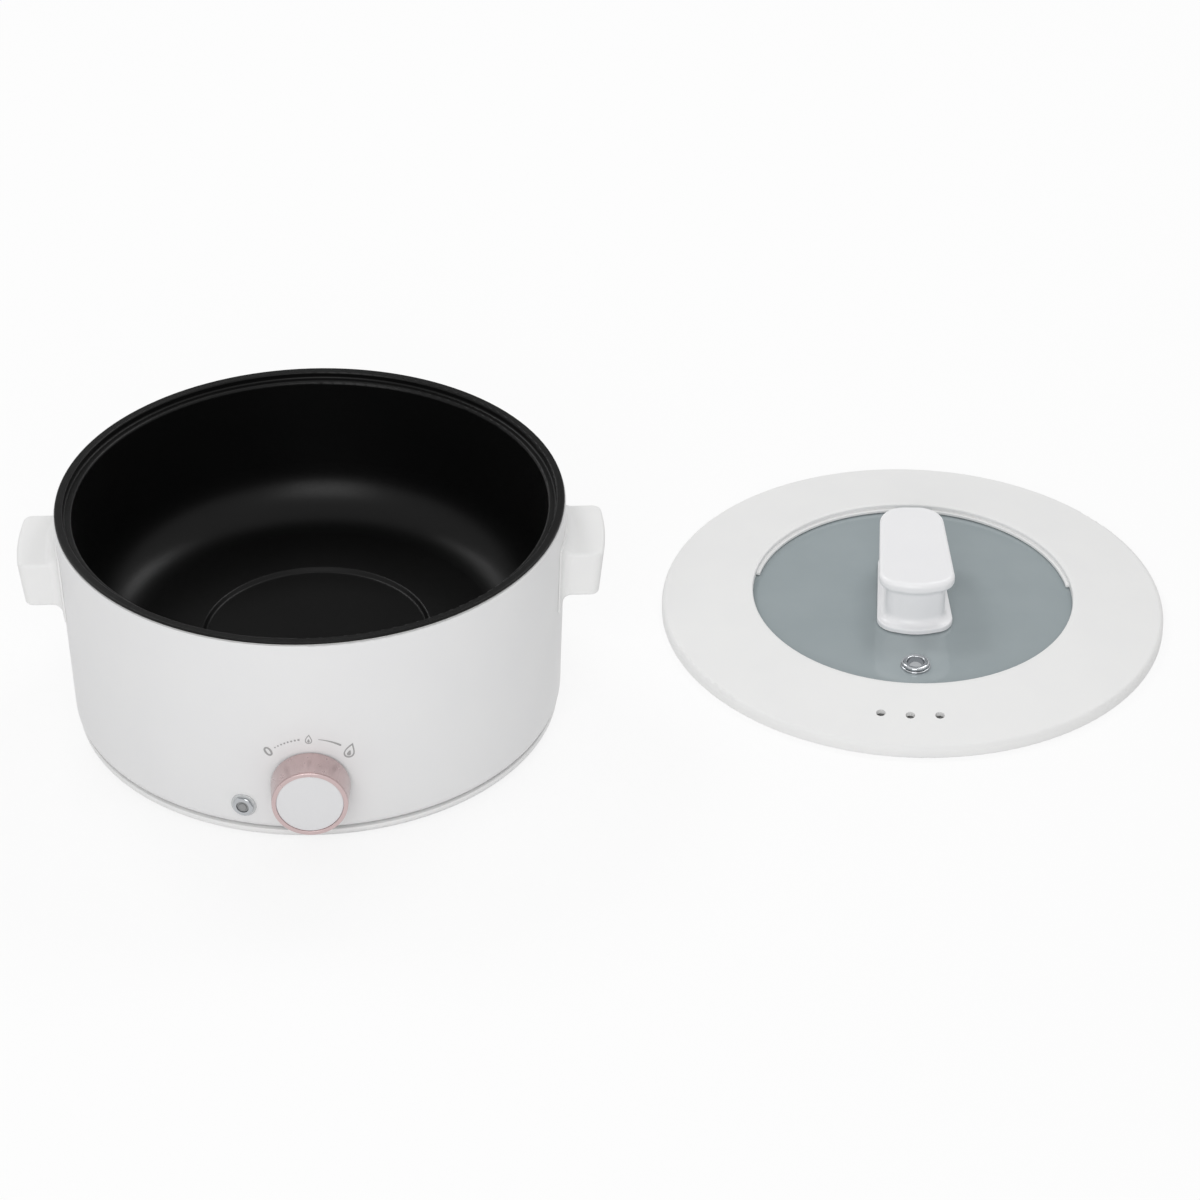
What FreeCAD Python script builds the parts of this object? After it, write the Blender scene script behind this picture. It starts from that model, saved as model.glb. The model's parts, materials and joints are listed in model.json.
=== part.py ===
import FreeCAD, Part
import math
import os

Vec = FreeCAD.Vector

# Driving sizes in millimetres. The origin is on the table under the middle of the pot,
# the control knob faces -Y and +Z is up. The loose lid lies face up on the table at +X.

# Outer shell, a moulded white wall
shell_reveal = 0.6
shell_taper = 4.0
shell_wall = 2.5
shell_foot_height = 7.5
shell_foot_round = 6.0
shell_foot_lip_width = 6.4

# Cooking pan, die-cast aluminium with a black coating
pan_top_height = 133.0
lip_overhang = 4.8
lip_thickness = 1.6
step_radius = 135.0
step_depth = 4.0
ledge_width = 4.5
pan_taper = 1.0
pan_depth = 88.0
pan_corner = 30.0
pan_wall = 2.0
pan_floor_thickness = 3.5
recess_radius = 62.0
recess_depth = 2.0
seal_gap = 0.5
seal_leg = 3.0

# Pillars that draw the base cover, the heat shield and the pan together
pillar_circle = 104.0
pillar_radius = 4.5
pillar_count = 3
shield_drop = 13.5
base_screw_radius = 1.55
base_screw_grip = 7.0
base_head_radius = 3.6
base_head_height = 2.4

# Base cover and feet
base_inset = 1.4
base_floor_thickness = 2.2
base_groove = 0.7
base_upstand = 4.0
foot_height = 2.2
foot_radius = 8.0
foot_stem_radius = 3.4
foot_circle = 112.0
foot_count = 4
vent_slot_width = 3.0
vent_slot_length = 16.0
vent_slot_circle = 70.0
vent_slot_count = 20
base_groove_circle = 96.0
base_groove_width = 2.0
base_groove_depth = 0.6

# Heater, shield and sensor
plate_inner_radius = 64.0
plate_outer_radius = 95.0
plate_thickness = 5.5
heater_circle = 79.0
heater_tube_radius = 3.5
heater_gap_angle = 40.0
heater_bend = 9.0
heater_leg_end = 22.0
bead_radius = 4.6
bead_height = 5.0
shield_radius = 110.0
shield_thickness = 0.6
bulb_radius = 2.5
bulb_length = 44.0
capillary_radius = 0.8
fuse_radius = 2.2
fuse_length = 16.0
strap_thickness = 0.6
strap_width = 8.0
strap_place = 24.0

# Knob and thermostat, on an axis that points out of the front of the shell
knob_height = 40.0
knob_back_radius = 21.4
knob_front_radius = 20.3
knob_length = 17.4
knob_wall = 2.0
knob_air_gap = 1.2
knob_rim = 2.3
knob_rim_depth = 2.8
cap_inset = 0.6
cap_thickness = 2.2
hub_radius = 7.0
hub_web = 2.4
hub_length = 10.0
clip_thickness = 1.2
spindle_radius = 3.0
spindle_flat = 0.8
spindle_depth = 12.0
thermostat_width = 28.0
thermostat_top = 45.0
thermostat_bottom = 22.0
thermostat_depth = 17.0
thermostat_seat = 3.5
thermostat_shoulder = 3.5
bushing_radius = 4.5
bushing_reach = 4.0
nut_across_flats = 13.0
nut_thickness = 2.4
terminal_width = 6.0
terminal_thickness = 0.8
terminal_length = 6.5
terminal_spacing = 16.0

# Indicator lamp, left of the knob
indicator_angle = -15.5
indicator_height = 23.0
indicator_flange_radius = 7.0
indicator_barrel_radius = 4.8
indicator_barrel_depth = 9.0
indicator_flange_thickness = 1.3
bezel_radius = 5.35
bezel_bore_radius = 3.5
bezel_height = 1.4
lens_tip_radius = 2.15
lens_tip_height = 0.9
lamp_radius = 2.2
lamp_length = 12.0

# Side handles
handle_stand_out = 21.6
handle_half_width = 25.5
handle_top = 109.0
handle_thickness = 27.0
handle_draft = 3.0
handle_corner = 5.0
handle_edge = 1.6
handle_flare = 6.0
handle_flange = 0.9
handle_screw_spacing = 28.0
handle_screw_radius = 1.7
handle_screw_length = 14.0
handle_head_radius = 2.8
handle_head_height = 2.2

# Appliance inlet at the back
inlet_height = 26.0
inlet_width = 28.0
inlet_tall = 21.0
inlet_wall = 2.0
inlet_depth = 16.0
inlet_back = 3.0
inlet_proud = 1.2
inlet_flange_width = 50.0
inlet_flange_thickness = 2.5
inlet_flange_inset = 9.5
inlet_screw_spacing = 40.0
inlet_screw_radius = 1.5
inlet_boss_radius = 3.2
inlet_head_radius = 2.8
inlet_head_height = 1.6
pin_spacing = 7.0
pin_drop = 3.0
pin_width = 4.0
pin_thickness = 2.0
pin_recess = 5.0
pin_tail = 7.0
earth_tag = 8.0

# Inner leads
lead_radius = 1.2
lead_low = 11.0
lead_middle = 15.0
lead_high = 19.0

# Lid, where it lies and how it is turned
lid_x = 344.0
lid_y = 74.0
lid_turn = -6.2
lid_overhang = 12.5
lid_edge_height = 6.8
lid_edge_slope_inset = 3.0
lid_edge_round = 3.0
lid_crown_height = 14.0
lid_crown_radius = 96.0
lid_opening_radius = 93.0
lid_wall = 2.5
lid_locator_gap = 1.5
lid_locator_wall = 2.0
lid_locator_clear = 1.2
lid_glass_radius = 99.0
lid_glass_thickness = 4.0
lid_glass_bottom = 5.5
gasket_thickness = 0.6
gasket_side = 2.0
gasket_grip = 4.5
lip_reach = 2.0
lip_height = 1.5
lip_half_angle = 80.0
notch_width = 22.0
steam_hole_radius = 2.65
steam_hole_circle = 120.0
steam_hole_step = 7.9
steam_hole_count = 3
retainer_inner_radius = 92.0
retainer_gap = 0.5
retainer_thickness = 2.6
retainer_slot_width = 4.0
retainer_slot_length = 10.0
retainer_slot_count = 12
lid_screw_circle = 106.0
lid_screw_count = 6
lid_boss_radius = 3.6
lid_screw_radius = 1.2
lid_screw_head_radius = 2.6
lid_screw_head_height = 1.4

# Steam vent eyelet in the glass
eyelet_x = 2.5
eyelet_y = -70.0
eyelet_bore_radius = 5.0
eyelet_radius = 8.5
eyelet_height = 3.2
eyelet_barrel_radius = 6.0
eyelet_nut_thickness = 2.4

# Lid handle, a spool with a tapered outline
grip_turn = 3.5
grip_front = -41.0
grip_shoulder = -34.5
grip_back = 45.0
grip_front_half = 22.25
grip_back_half = 17.9
grip_front_corner = 12.0
grip_nose_round = 30.0
grip_back_corner = 15.0
grip_top = 44.0
grip_slab = 7.0
grip_slab_round = 2.8
grip_foot = 3.0
grip_foot_round = 1.0
grip_waist_inset = 5.0
grip_waist_round = 4.5
pad_thickness = 0.8
pad_inset = 1.5
grip_screw_spacing = 36.0
grip_screw_radius = 2.0
grip_screw_grip = 9.0
grip_insert_radius = 3.2
grip_head_radius = 3.8
grip_head_height = 2.2
grip_washer_thickness = 1.0
grip_washer_radius = 5.5

# Clearances
running_fit = 0.05
slip_fit = 0.2
seat_gap = 0.1

# Heights and radii that follow from the sizes above
lip_radius = step_radius + lip_overhang
ledge_radius = step_radius - ledge_width
pan_foot_radius = ledge_radius - pan_taper
shell_top_radius = lip_radius + shell_reveal
shell_foot_radius = shell_top_radius - shell_taper
shell_foot_lip_radius = shell_foot_radius - shell_foot_lip_width
base_radius = shell_foot_radius - base_inset
handle_reach = shell_top_radius + handle_stand_out
lid_locator_radius = step_radius - lid_locator_gap
lid_radius = lid_locator_radius + lid_overhang
lid_edge_slope_radius = lid_radius - lid_edge_slope_inset
retainer_outer_radius = lid_locator_radius - lid_locator_wall - retainer_gap
pan_floor_top = pan_top_height - pan_depth
pan_underside = pan_floor_top - pan_floor_thickness
pillar_joint_height = pan_underside - shield_drop
ledge_height = pan_top_height - step_depth
lip_underside = pan_top_height - lip_thickness
shell_top_height = lip_underside - seal_gap
base_top = shell_foot_height - base_groove
base_floor_top = foot_height + base_floor_thickness
plate_bottom = pan_underside - plate_thickness
shield_bottom = pillar_joint_height
boss_bottom = shield_bottom + shield_thickness
screw_head_seat = pillar_joint_height - base_screw_grip
glass_top = lid_glass_bottom + lid_glass_thickness
ring_ledge = glass_top + gasket_thickness
handle_bottom = handle_top - handle_thickness


def arc_or_corner(before, corner, after, radius):
    """Return the two tangent points and the middle of the arc that rounds one corner."""
    to_before = (before - corner).normalize()
    to_after = (after - corner).normalize()
    half = to_before.getAngle(to_after) / 2.0
    reach = radius / math.tan(half)
    bisector = (to_before + to_after).normalize()
    centre_way = radius / math.sin(half)
    middle = corner + bisector * (centre_way - radius)
    return corner + to_before * reach, middle, corner + to_after * reach


def rounded_wire(corners, place):
    """Join corners given as (u, v, radius) into a closed wire with tangent arcs."""
    points = [place(u, v) for u, v, radius in corners]
    count = len(points)
    edges = []
    starts = []
    ends = []
    for index in range(count):
        radius = corners[index][2]
        if radius <= 0.0:
            starts.append(points[index])
            ends.append(points[index])
            continue
        first, middle, last = arc_or_corner(
            points[index - 1], points[index], points[(index + 1) % count], radius)
        starts.append(first)
        ends.append(last)
        edges.append((index, Part.Arc(first, middle, last).toShape()))
    arcs = dict(edges)
    ordered = []
    for index in range(count):
        if index in arcs:
            ordered.append(arcs[index])
        following = starts[(index + 1) % count]
        if ends[index].distanceToPoint(following) > 1e-6:
            ordered.append(Part.LineSegment(ends[index], following).toShape())
    return Part.Wire(ordered)


def turned(corners):
    """Turn a half section, given as (radius, height, corner radius), about the Z axis."""
    wire = rounded_wire(corners, lambda u, v: Vec(u, 0, v))
    return Part.Face(wire).revolve(Vec(0, 0, 0), Vec(0, 0, 1), 360)


def prism(corners, bottom, top):
    """Raise an outline given as (x, y, corner radius) from bottom to top."""
    wire = rounded_wire(corners, lambda u, v: Vec(u, v, bottom))
    return Part.Face(wire).extrude(Vec(0, 0, top - bottom))


def rod(radius, bottom, top, x=0.0, y=0.0):
    """Make an upright round bar."""
    return Part.makeCylinder(radius, top - bottom, Vec(x, y, bottom))


def block(x0, x1, y0, y1, z0, z1):
    """Make a box from its limits."""
    return Part.makeBox(x1 - x0, y1 - y0, z1 - z0, Vec(x0, y0, z0))


def hexagon(across_flats, bottom, top):
    """Make an upright hexagonal bar."""
    reach = across_flats / math.sqrt(3.0)
    turns = [math.radians(60 * k) for k in range(6)]
    return prism([(reach * math.cos(t), reach * math.sin(t), 0.0) for t in turns], bottom, top)


def around(shape, count, first_angle=0.0):
    """Copy a shape round the Z axis."""
    copies = []
    for index in range(count):
        copy = shape.copy()
        copy.rotate(Vec(0, 0, 0), Vec(0, 0, 1), first_angle + 360.0 * index / count)
        copies.append(copy)
    return copies


def outward(shape, angle, height):
    """Stand a shape made along +Z out of the shell at an angle from the front."""
    copy = shape.copy()
    copy.rotate(Vec(0, 0, 0), Vec(1, 0, 0), 90)
    copy.rotate(Vec(0, 0, 0), Vec(0, 0, 1), angle)
    copy.translate(Vec(0, 0, height))
    return copy


def on_lid(shape):
    """Carry a shape made round the lid's own middle to where the lid lies."""
    copy = shape.copy()
    copy.rotate(Vec(0, 0, 0), Vec(0, 0, 1), lid_turn)
    copy.translate(Vec(lid_x, lid_y, 0))
    return copy


def on_grip(shape):
    """Carry a shape made round the lid handle's middle to its place on the lid."""
    copy = shape.copy()
    copy.rotate(Vec(0, 0, 0), Vec(0, 0, 1), grip_turn)
    return on_lid(copy)


def tube_along(points, radius):
    """Sweep a round section along straight runs joined by tangent arcs."""
    nodes = [Vec(*point) for point in points]
    edges = []
    start = nodes[0]
    for index in range(1, len(nodes) - 1):
        before, corner, after = nodes[index - 1], nodes[index], nodes[index + 1]
        shorter = min(before.distanceToPoint(corner), after.distanceToPoint(corner))
        turn = (corner - before).getAngle(after - corner)
        bend = 0.45 * shorter / math.tan(turn / 2.0)
        first, middle, last = arc_or_corner(before, corner, after, bend)
        edges.append(Part.LineSegment(start, first).toShape())
        edges.append(Part.Arc(first, middle, last).toShape())
        start = last
    edges.append(Part.LineSegment(start, nodes[-1]).toShape())
    path = Part.Wire(edges)
    section = Part.Wire(Part.Circle(nodes[0], nodes[1] - nodes[0], radius).toShape())
    return path.makePipeShell([section], True, False)


def shell_radius_at(height):
    """Return the outer radius of the shell's straight wall at a height."""
    share = (height - shell_foot_height) / (shell_top_height - shell_foot_height)
    return shell_foot_radius + share * (shell_top_radius - shell_foot_radius)


def shell_envelope(inset):
    """Return the solid that the shell's straight wall goes round, set in by inset."""
    return turned([
        (0.0, shell_foot_height, 0.0),
        (shell_foot_radius - inset, shell_foot_height, 0.0),
        (shell_top_radius - inset, shell_top_height, 0.0),
        (0.0, shell_top_height, 0.0)])


def at_pillars(shape):
    """Copy a shape made on the Z axis to each pillar."""
    moved = shape.copy()
    moved.translate(Vec(pillar_circle, 0, 0))
    return around(moved, pillar_count)


def at_feet(shape):
    """Copy a shape made on the Z axis to each foot."""
    moved = shape.copy()
    moved.translate(Vec(foot_circle, 0, 0))
    return around(moved, foot_count, 180.0 / foot_count)


def cut_all(shape, tools):
    """Cut several tools from a shape."""
    for tool in tools:
        shape = shape.cut(tool)
    return shape


def fuse_all(shape, others):
    """Fuse several shapes into one."""
    for other in others:
        shape = shape.fuse(other)
    return shape.removeSplitter()


def outer_shell():
    """The white wall with its holes for the bushing, indicator, inlet and handle screws."""
    foot_top = shell_foot_height + shell_wall
    shell = turned([
        (shell_foot_lip_radius, shell_foot_height, 0.0),
        (shell_foot_radius, shell_foot_height, shell_foot_round),
        (shell_top_radius, shell_top_height, 0.6),
        (shell_top_radius - shell_wall, shell_top_height, 0.3),
        (shell_foot_radius - shell_wall, foot_top, shell_foot_round - shell_wall),
        (shell_foot_lip_radius, foot_top, 0.0)])
    inside = shell_foot_radius - 4 * shell_wall
    outside = shell_top_radius + shell_wall
    bushing_hole = outward(rod(bushing_radius + slip_fit, inside, outside), 0, knob_height)
    lamp_hole = outward(rod(indicator_barrel_radius + slip_fit, inside, outside),
                        indicator_angle, indicator_height)
    half_w = inlet_width / 2 + slip_fit
    half_t = inlet_tall / 2 + slip_fit
    window = block(-half_w, half_w, inside, outside, inlet_height - half_t, inlet_height + half_t)
    shell = cut_all(shell, [bushing_hole, lamp_hole, window])
    for side in (-1, 1):
        hole = rod(inlet_screw_radius + slip_fit, inside, outside)
        hole = outward(hole, 180, inlet_height)
        hole.translate(Vec(side * inlet_screw_spacing / 2, 0, 0))
        shell = shell.cut(hole)
        for hole in handle_screw_rods(side, handle_screw_radius + slip_fit, inside, outside):
            shell = shell.cut(hole)
    return shell


def handle_screw_rods(side, radius, inner, outer):
    """Return level bars at the screw places of one side handle."""
    height = (handle_top + handle_bottom) / 2
    rods = []
    for across in (-1, 1):
        bar = outward(rod(radius, inner, outer), side * 90, height)
        bar.translate(Vec(0, across * handle_screw_spacing / 2, 0))
        rods.append(bar)
    return rods


def cooking_pan():
    """The deep pan with its stepped rim, recessed floor and the bosses under it."""
    outer_corner = pan_corner + pan_wall
    recess_ramp = recess_radius + recess_depth
    pan = turned([
        (0.0, pan_floor_top - recess_depth, 0.0),
        (recess_radius, pan_floor_top - recess_depth, 1.5),
        (recess_ramp, pan_floor_top, 1.0),
        (pan_foot_radius, pan_floor_top, pan_corner),
        (ledge_radius, ledge_height, 1.5),
        (step_radius, ledge_height, 1.0),
        (step_radius, pan_top_height, 1.0),
        (lip_radius, pan_top_height, 0.7),
        (lip_radius, lip_underside, 0.4),
        (step_radius + pan_wall, lip_underside, 0.0),
        (step_radius + pan_wall, ledge_height - pan_wall, 1.5),
        (ledge_radius + pan_wall, ledge_height - pan_wall, 1.0),
        (pan_foot_radius + pan_wall, pan_underside, outer_corner),
        (0.0, pan_underside, 0.0)])
    bosses = at_pillars(rod(pillar_radius, boss_bottom, pan_floor_top - pan_wall / 2))
    pan = fuse_all(pan, bosses)
    pilot = rod(base_screw_radius + running_fit, boss_bottom - 1, boss_bottom + base_screw_grip + 1)
    return cut_all(pan, at_pillars(pilot))


def pan_seal():
    """The silicone ring between the pan's lip and the top edge of the shell."""
    inner = step_radius + pan_wall
    flange = lip_radius - seal_gap
    leg_bottom = shell_top_height - seal_leg
    leg = shell_radius_at(leg_bottom) - shell_wall - running_fit
    return turned([
        (inner, leg_bottom, 0.0),
        (leg, leg_bottom, 0.0),
        (leg, shell_top_height, 0.0),
        (flange, shell_top_height, 0.0),
        (flange, lip_underside, 0.0),
        (inner, lip_underside, 0.0)])


def base_cover():
    """The bottom cover with its pillars, vent slots and foot holes."""
    post_bore = base_screw_radius + slip_fit
    upstand_outer = shell_foot_lip_radius - slip_fit
    upstand_inner = upstand_outer - base_floor_thickness
    cover = turned([
        (0.0, foot_height, 0.0),
        (base_radius, foot_height, 3.0),
        (base_radius, base_top, 0.6),
        (upstand_outer, base_top, 0.0),
        (upstand_outer, base_top + base_upstand, 0.4),
        (upstand_inner, base_top + base_upstand, 0.4),
        (upstand_inner, base_floor_top, 1.5),
        (0.0, base_floor_top, 0.0)])
    cover = fuse_all(cover, at_pillars(rod(pillar_radius, foot_height + 1, pillar_joint_height)))
    cover = cut_all(cover, at_pillars(rod(post_bore, 0, pillar_joint_height + 1)))
    well = rod(base_head_radius + slip_fit, 0, screw_head_seat)
    cover = cut_all(cover, at_pillars(well))
    cover = cut_all(cover, at_feet(rod(foot_stem_radius + seat_gap, 0, base_floor_top + 1)))
    half_groove = base_groove_width / 2
    cover = cover.cut(turned([
        (base_groove_circle - half_groove, 0.0, 0.0),
        (base_groove_circle + half_groove, 0.0, 0.0),
        (base_groove_circle + half_groove, foot_height + base_groove_depth, 0.0),
        (base_groove_circle - half_groove, foot_height + base_groove_depth, 0.0)]))
    near = vent_slot_circle - vent_slot_length / 2
    far = vent_slot_circle + vent_slot_length / 2
    half = vent_slot_width / 2
    slot = prism([(near, -half, half * 0.98), (far, -half, half * 0.98),
                  (far, half, half * 0.98), (near, half, half * 0.98)], 0, base_floor_top + 1)
    return cut_all(cover, around(slot, vent_slot_count, 180.0 / vent_slot_count))


def rubber_foot():
    """One push-in rubber foot, made on the Z axis."""
    head = foot_stem_radius + 0.9
    return turned([
        (0.0, 0.0, 0.0),
        (foot_radius, 0.0, 0.8),
        (foot_radius, foot_height, 0.4),
        (foot_stem_radius, foot_height, 0.0),
        (foot_stem_radius, base_floor_top, 0.0),
        (head, base_floor_top, 0.0),
        (foot_stem_radius - 0.6, base_floor_top + 2.4, 0.0),
        (0.0, base_floor_top + 2.4, 0.0)])


def base_screws():
    """The long screws that rise through the base pillars into the pan's bosses."""
    tip = boss_bottom + base_screw_grip
    head_bottom = screw_head_seat - base_head_height
    screw = turned([
        (0.0, head_bottom, 0.0),
        (base_head_radius, head_bottom, 0.8),
        (base_head_radius, screw_head_seat, 0.0),
        (base_screw_radius, screw_head_seat, 0.0),
        (base_screw_radius, tip, 0.0),
        (0.0, tip, 0.0)])
    slot = block(-base_head_radius, base_head_radius, -0.5, 0.5, head_bottom - 1, head_bottom + 1)
    cross = slot.copy()
    cross.rotate(Vec(0, 0, 0), Vec(0, 0, 1), 90)
    return Part.makeCompound(at_pillars(screw.cut(slot).cut(cross)))


def heater_tube():
    """The sheathed element, a broad C with both ends turned down to its terminals."""
    half_gap = math.radians(heater_gap_angle / 2)
    rear = math.pi / 2
    edges = []
    ends = []
    for side in (1, -1):
        angle = rear + side * half_gap
        point = Vec(heater_circle * math.cos(angle), heater_circle * math.sin(angle), plate_bottom)
        along = Vec(side * math.sin(angle), -side * math.cos(angle), 0)
        down = Vec(0, 0, -heater_bend)
        turn_end = point + along * heater_bend + down
        share = math.sqrt(0.5)
        middle = point + along * (heater_bend * share) + down * (1 - share)
        bottom = Vec(turn_end.x, turn_end.y, heater_leg_end)
        ends.append((point, middle, turn_end, bottom))
    (p1, m1, t1, b1), (p2, m2, t2, b2) = ends
    front = Vec(0, -heater_circle, plate_bottom)
    edges.append(Part.LineSegment(b1, t1).toShape())
    edges.append(Part.Arc(t1, m1, p1).toShape())
    edges.append(Part.Arc(p1, front, p2).toShape())
    edges.append(Part.Arc(p2, m2, t2).toShape())
    edges.append(Part.LineSegment(t2, b2).toShape())
    path = Part.Wire(edges)
    section = Part.Wire(Part.Circle(b1, Vec(0, 0, 1), heater_tube_radius).toShape())
    tube = path.makePipeShell([section], True, False)
    return tube, [b1, b2]


def heating_plate(tube):
    """The cast ring that spreads the element's heat over the pan's underside."""
    plate = turned([
        (plate_inner_radius, plate_bottom, 1.0),
        (plate_outer_radius, plate_bottom, 1.0),
        (plate_outer_radius, pan_underside, 0.0),
        (plate_inner_radius, pan_underside, 0.0)])
    groove = Part.makeTorus(heater_circle, heater_tube_radius + running_fit, Vec(0, 0, plate_bottom))
    return plate.cut(groove).cut(tube)


def heater_beads(leg_ends):
    """The ceramic beads under the element's two ends, each with its terminal stud."""
    beads = []
    for end in leg_ends:
        bead = rod(bead_radius, end.z - bead_height / 2, end.z, end.x, end.y)
        stud = rod(lead_radius, end.z - bead_height, end.z, end.x, end.y)
        beads.append(bead.fuse(stud).removeSplitter())
    return Part.makeCompound(beads)


def heat_shield(leg_ends):
    """The bright sheet that hangs between the pan's bosses and the base pillars."""
    shield = rod(shield_radius, shield_bottom, boss_bottom)
    shield = cut_all(shield, at_pillars(rod(base_screw_radius + slip_fit, 0, pan_underside)))
    for end in leg_ends:
        shield = shield.cut(rod(heater_tube_radius + 2, 0, pan_underside, end.x, end.y))
    return shield


def sensor_bulb():
    """The fluid bulb that touches the middle of the pan's underside."""
    axis_height = pan_underside - bulb_radius
    bulb = Part.makeCylinder(bulb_radius, bulb_length, Vec(0, -bulb_length / 2, axis_height),
                             Vec(0, 1, 0))
    return bulb


def capillary_tube():
    """The thin tube from the bulb, under the element, to the thermostat."""
    bulb_height = pan_underside - bulb_radius
    low = (boss_bottom + plate_bottom - heater_tube_radius) / 2
    back = -thermostat_back()
    return tube_along([
        (0, -bulb_length / 2, bulb_height),
        (0, -bulb_length / 2 - 10, bulb_height),
        (0, -bulb_length / 2 - 20, low),
        (0, back, low)], capillary_radius)


def strap(radius, place):
    """A bent sheet clip that holds a round piece up against the pan's underside."""
    half = strap_width / 2
    outer = radius + strap_thickness
    axis_height = pan_underside - radius
    loop = Part.makeCylinder(outer, strap_width, Vec(0, place - half, axis_height), Vec(0, 1, 0))
    walls = block(-outer, outer, place - half, place + half, axis_height, pan_underside)
    tabs = block(-outer - strap_width, outer + strap_width, place - half, place + half,
                 pan_underside - strap_thickness, pan_underside)
    hollow = Part.makeCylinder(radius, strap_width * 2, Vec(0, place - strap_width, axis_height),
                               Vec(0, 1, 0))
    room = block(-radius, radius, place - strap_width, place + strap_width,
                 axis_height, pan_underside)
    body = loop.fuse(walls).fuse(tabs).removeSplitter()
    below = block(-4 * strap_width, 4 * strap_width, place - strap_width, place + strap_width,
                  0, pan_underside)
    return body.common(below).cut(hollow).cut(room)


def thermal_fuse():
    """The one-shot fuse, strapped beside the bulb."""
    axis_height = pan_underside - fuse_radius
    fuse = Part.makeCylinder(fuse_radius, fuse_length, Vec(strap_place, -fuse_length / 2,
                             axis_height), Vec(0, 1, 0))
    return fuse


def thermostat_back():
    """Return how far the back of the thermostat is from the pot's axis."""
    return shell_radius_at(knob_height) - shell_wall - thermostat_seat - thermostat_depth


def thermostat_body():
    """The thermostat case with the threaded bushing that passes through the shell."""
    back = thermostat_back()
    front = back + thermostat_depth
    half = thermostat_width / 2
    collar = bushing_radius + thermostat_shoulder
    wall_inside = shell_radius_at(knob_height - collar) - shell_wall
    sagitta = wall_inside - math.sqrt(wall_inside ** 2 - collar ** 2)
    case = block(-half, half, -front, -back, thermostat_bottom, thermostat_top)
    case = case.makeFillet(1.5, [e for e in case.Edges if abs(e.tangentAt(0).y) > 0.9])
    seat = rod(collar, front - 1, wall_inside - sagitta - seat_gap)
    thread = rod(bushing_radius, front - 1, shell_radius_at(knob_height) + bushing_reach)
    case = fuse_all(case, [outward(seat, 0, knob_height), outward(thread, 0, knob_height)])
    bore = rod(spindle_radius + running_fit, front - spindle_depth, front + 5 * spindle_depth)
    return case.cut(outward(bore, 0, knob_height))


def bushing_nut():
    """The hexagon nut that clamps the thermostat to the shell, hidden by the knob."""
    seat = shell_radius_at(knob_height) + seat_gap
    nut = hexagon(nut_across_flats, seat, seat + nut_thickness)
    nut = nut.cut(rod(bushing_radius + running_fit, seat - 1, seat + nut_thickness + 1))
    clearance = shell_envelope(0.0)
    return outward(nut, 0, knob_height).cut(clearance)


def terminal_blades():
    """The two push-on blades at the back of the thermostat."""
    back = -thermostat_back()
    height = thermostat_bottom + 4
    blades = []
    for side in (-1, 1):
        x = side * terminal_spacing / 2
        blades.append(block(x - terminal_width / 2, x + terminal_width / 2, back,
                            back + terminal_length, height, height + terminal_thickness))
    return Part.makeCompound(blades)


def knob_back():
    """Return how far the knob's back edge is from the pot's axis."""
    return shell_radius_at(knob_height) + knob_air_gap


def knob_ring():
    """The rose gold ring of the knob, open at the back, with a rim round its cap."""
    back = knob_back()
    front = back + knob_length
    rim_inner = knob_front_radius - knob_rim
    wall_front = knob_front_radius - knob_wall
    ring = turned([
        (knob_back_radius - knob_wall, back, 0.0),
        (knob_back_radius, back, 0.5),
        (knob_front_radius, front, 0.7),
        (rim_inner, front, 0.3),
        (rim_inner, front - knob_rim_depth, 0.0),
        (wall_front, front - knob_rim_depth, 0.0)])
    return outward(ring, 0, knob_height)


def knob_hub():
    """The moulded hub that carries the ring and cap on the spindle."""
    web_front = knob_back() + knob_length - knob_rim_depth
    web_radius = knob_front_radius - knob_wall
    hub = turned([
        (0.0, web_front - hub_length, 0.0),
        (hub_radius, web_front - hub_length, 0.4),
        (hub_radius, web_front - hub_web, 0.6),
        (web_radius, web_front - hub_web, 0.0),
        (web_radius, web_front, 0.0),
        (0.0, web_front, 0.0)])
    bore = spindle_profile(web_front - hub_length - 1, web_front - hub_web, running_fit)
    return outward(hub.cut(bore), 0, knob_height)


def spindle_profile(bottom, top, extra):
    """Return a D-shaped bar, made along Z."""
    bar = rod(spindle_radius + extra, bottom, top)
    flat = spindle_radius - spindle_flat + extra
    return bar.cut(block(-spindle_radius * 2, spindle_radius * 2, flat, spindle_radius * 2,
                         bottom - 1, top + 1))


def thermostat_spindle():
    """The turning shaft, round in its bushing and D-shaped in the hub."""
    front = thermostat_back() + thermostat_depth
    web_front = knob_back() + knob_length - knob_rim_depth
    hub_start = web_front - hub_length
    round_end = front - spindle_depth + seat_gap
    shaft = rod(spindle_radius, round_end, hub_start)
    shaft = shaft.fuse(spindle_profile(hub_start, web_front - hub_web - seat_gap, 0.0))
    return outward(shaft.removeSplitter(), 0, knob_height)


def knob_cap():
    """The white disc in the front of the knob."""
    front = knob_back() + knob_length - cap_inset
    radius = knob_front_radius - knob_rim - running_fit
    seat = front - cap_thickness
    cap = turned([
        (0.0, seat, 0.0),
        (radius, seat, 0.0),
        (radius, front, 0.5),
        (0.0, front, 0.0)])
    return outward(cap, 0, knob_height)


def hub_clip():
    """The spring ring that closes the hub on the spindle."""
    start = knob_back() + knob_length - knob_rim_depth - hub_length + 2
    ring = rod(hub_radius + clip_thickness, start, start + 2 * clip_thickness)
    ring = ring.cut(rod(hub_radius, start - 1, start + 3 * clip_thickness))
    gap = block(-1, 1, 0, 2 * hub_radius, start - 1, start + 3 * clip_thickness)
    return outward(ring.cut(gap), 0, knob_height)


def indicator_seat():
    """Return how far the indicator's flange sits from the pot's axis."""
    return shell_radius_at(indicator_height)


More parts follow.
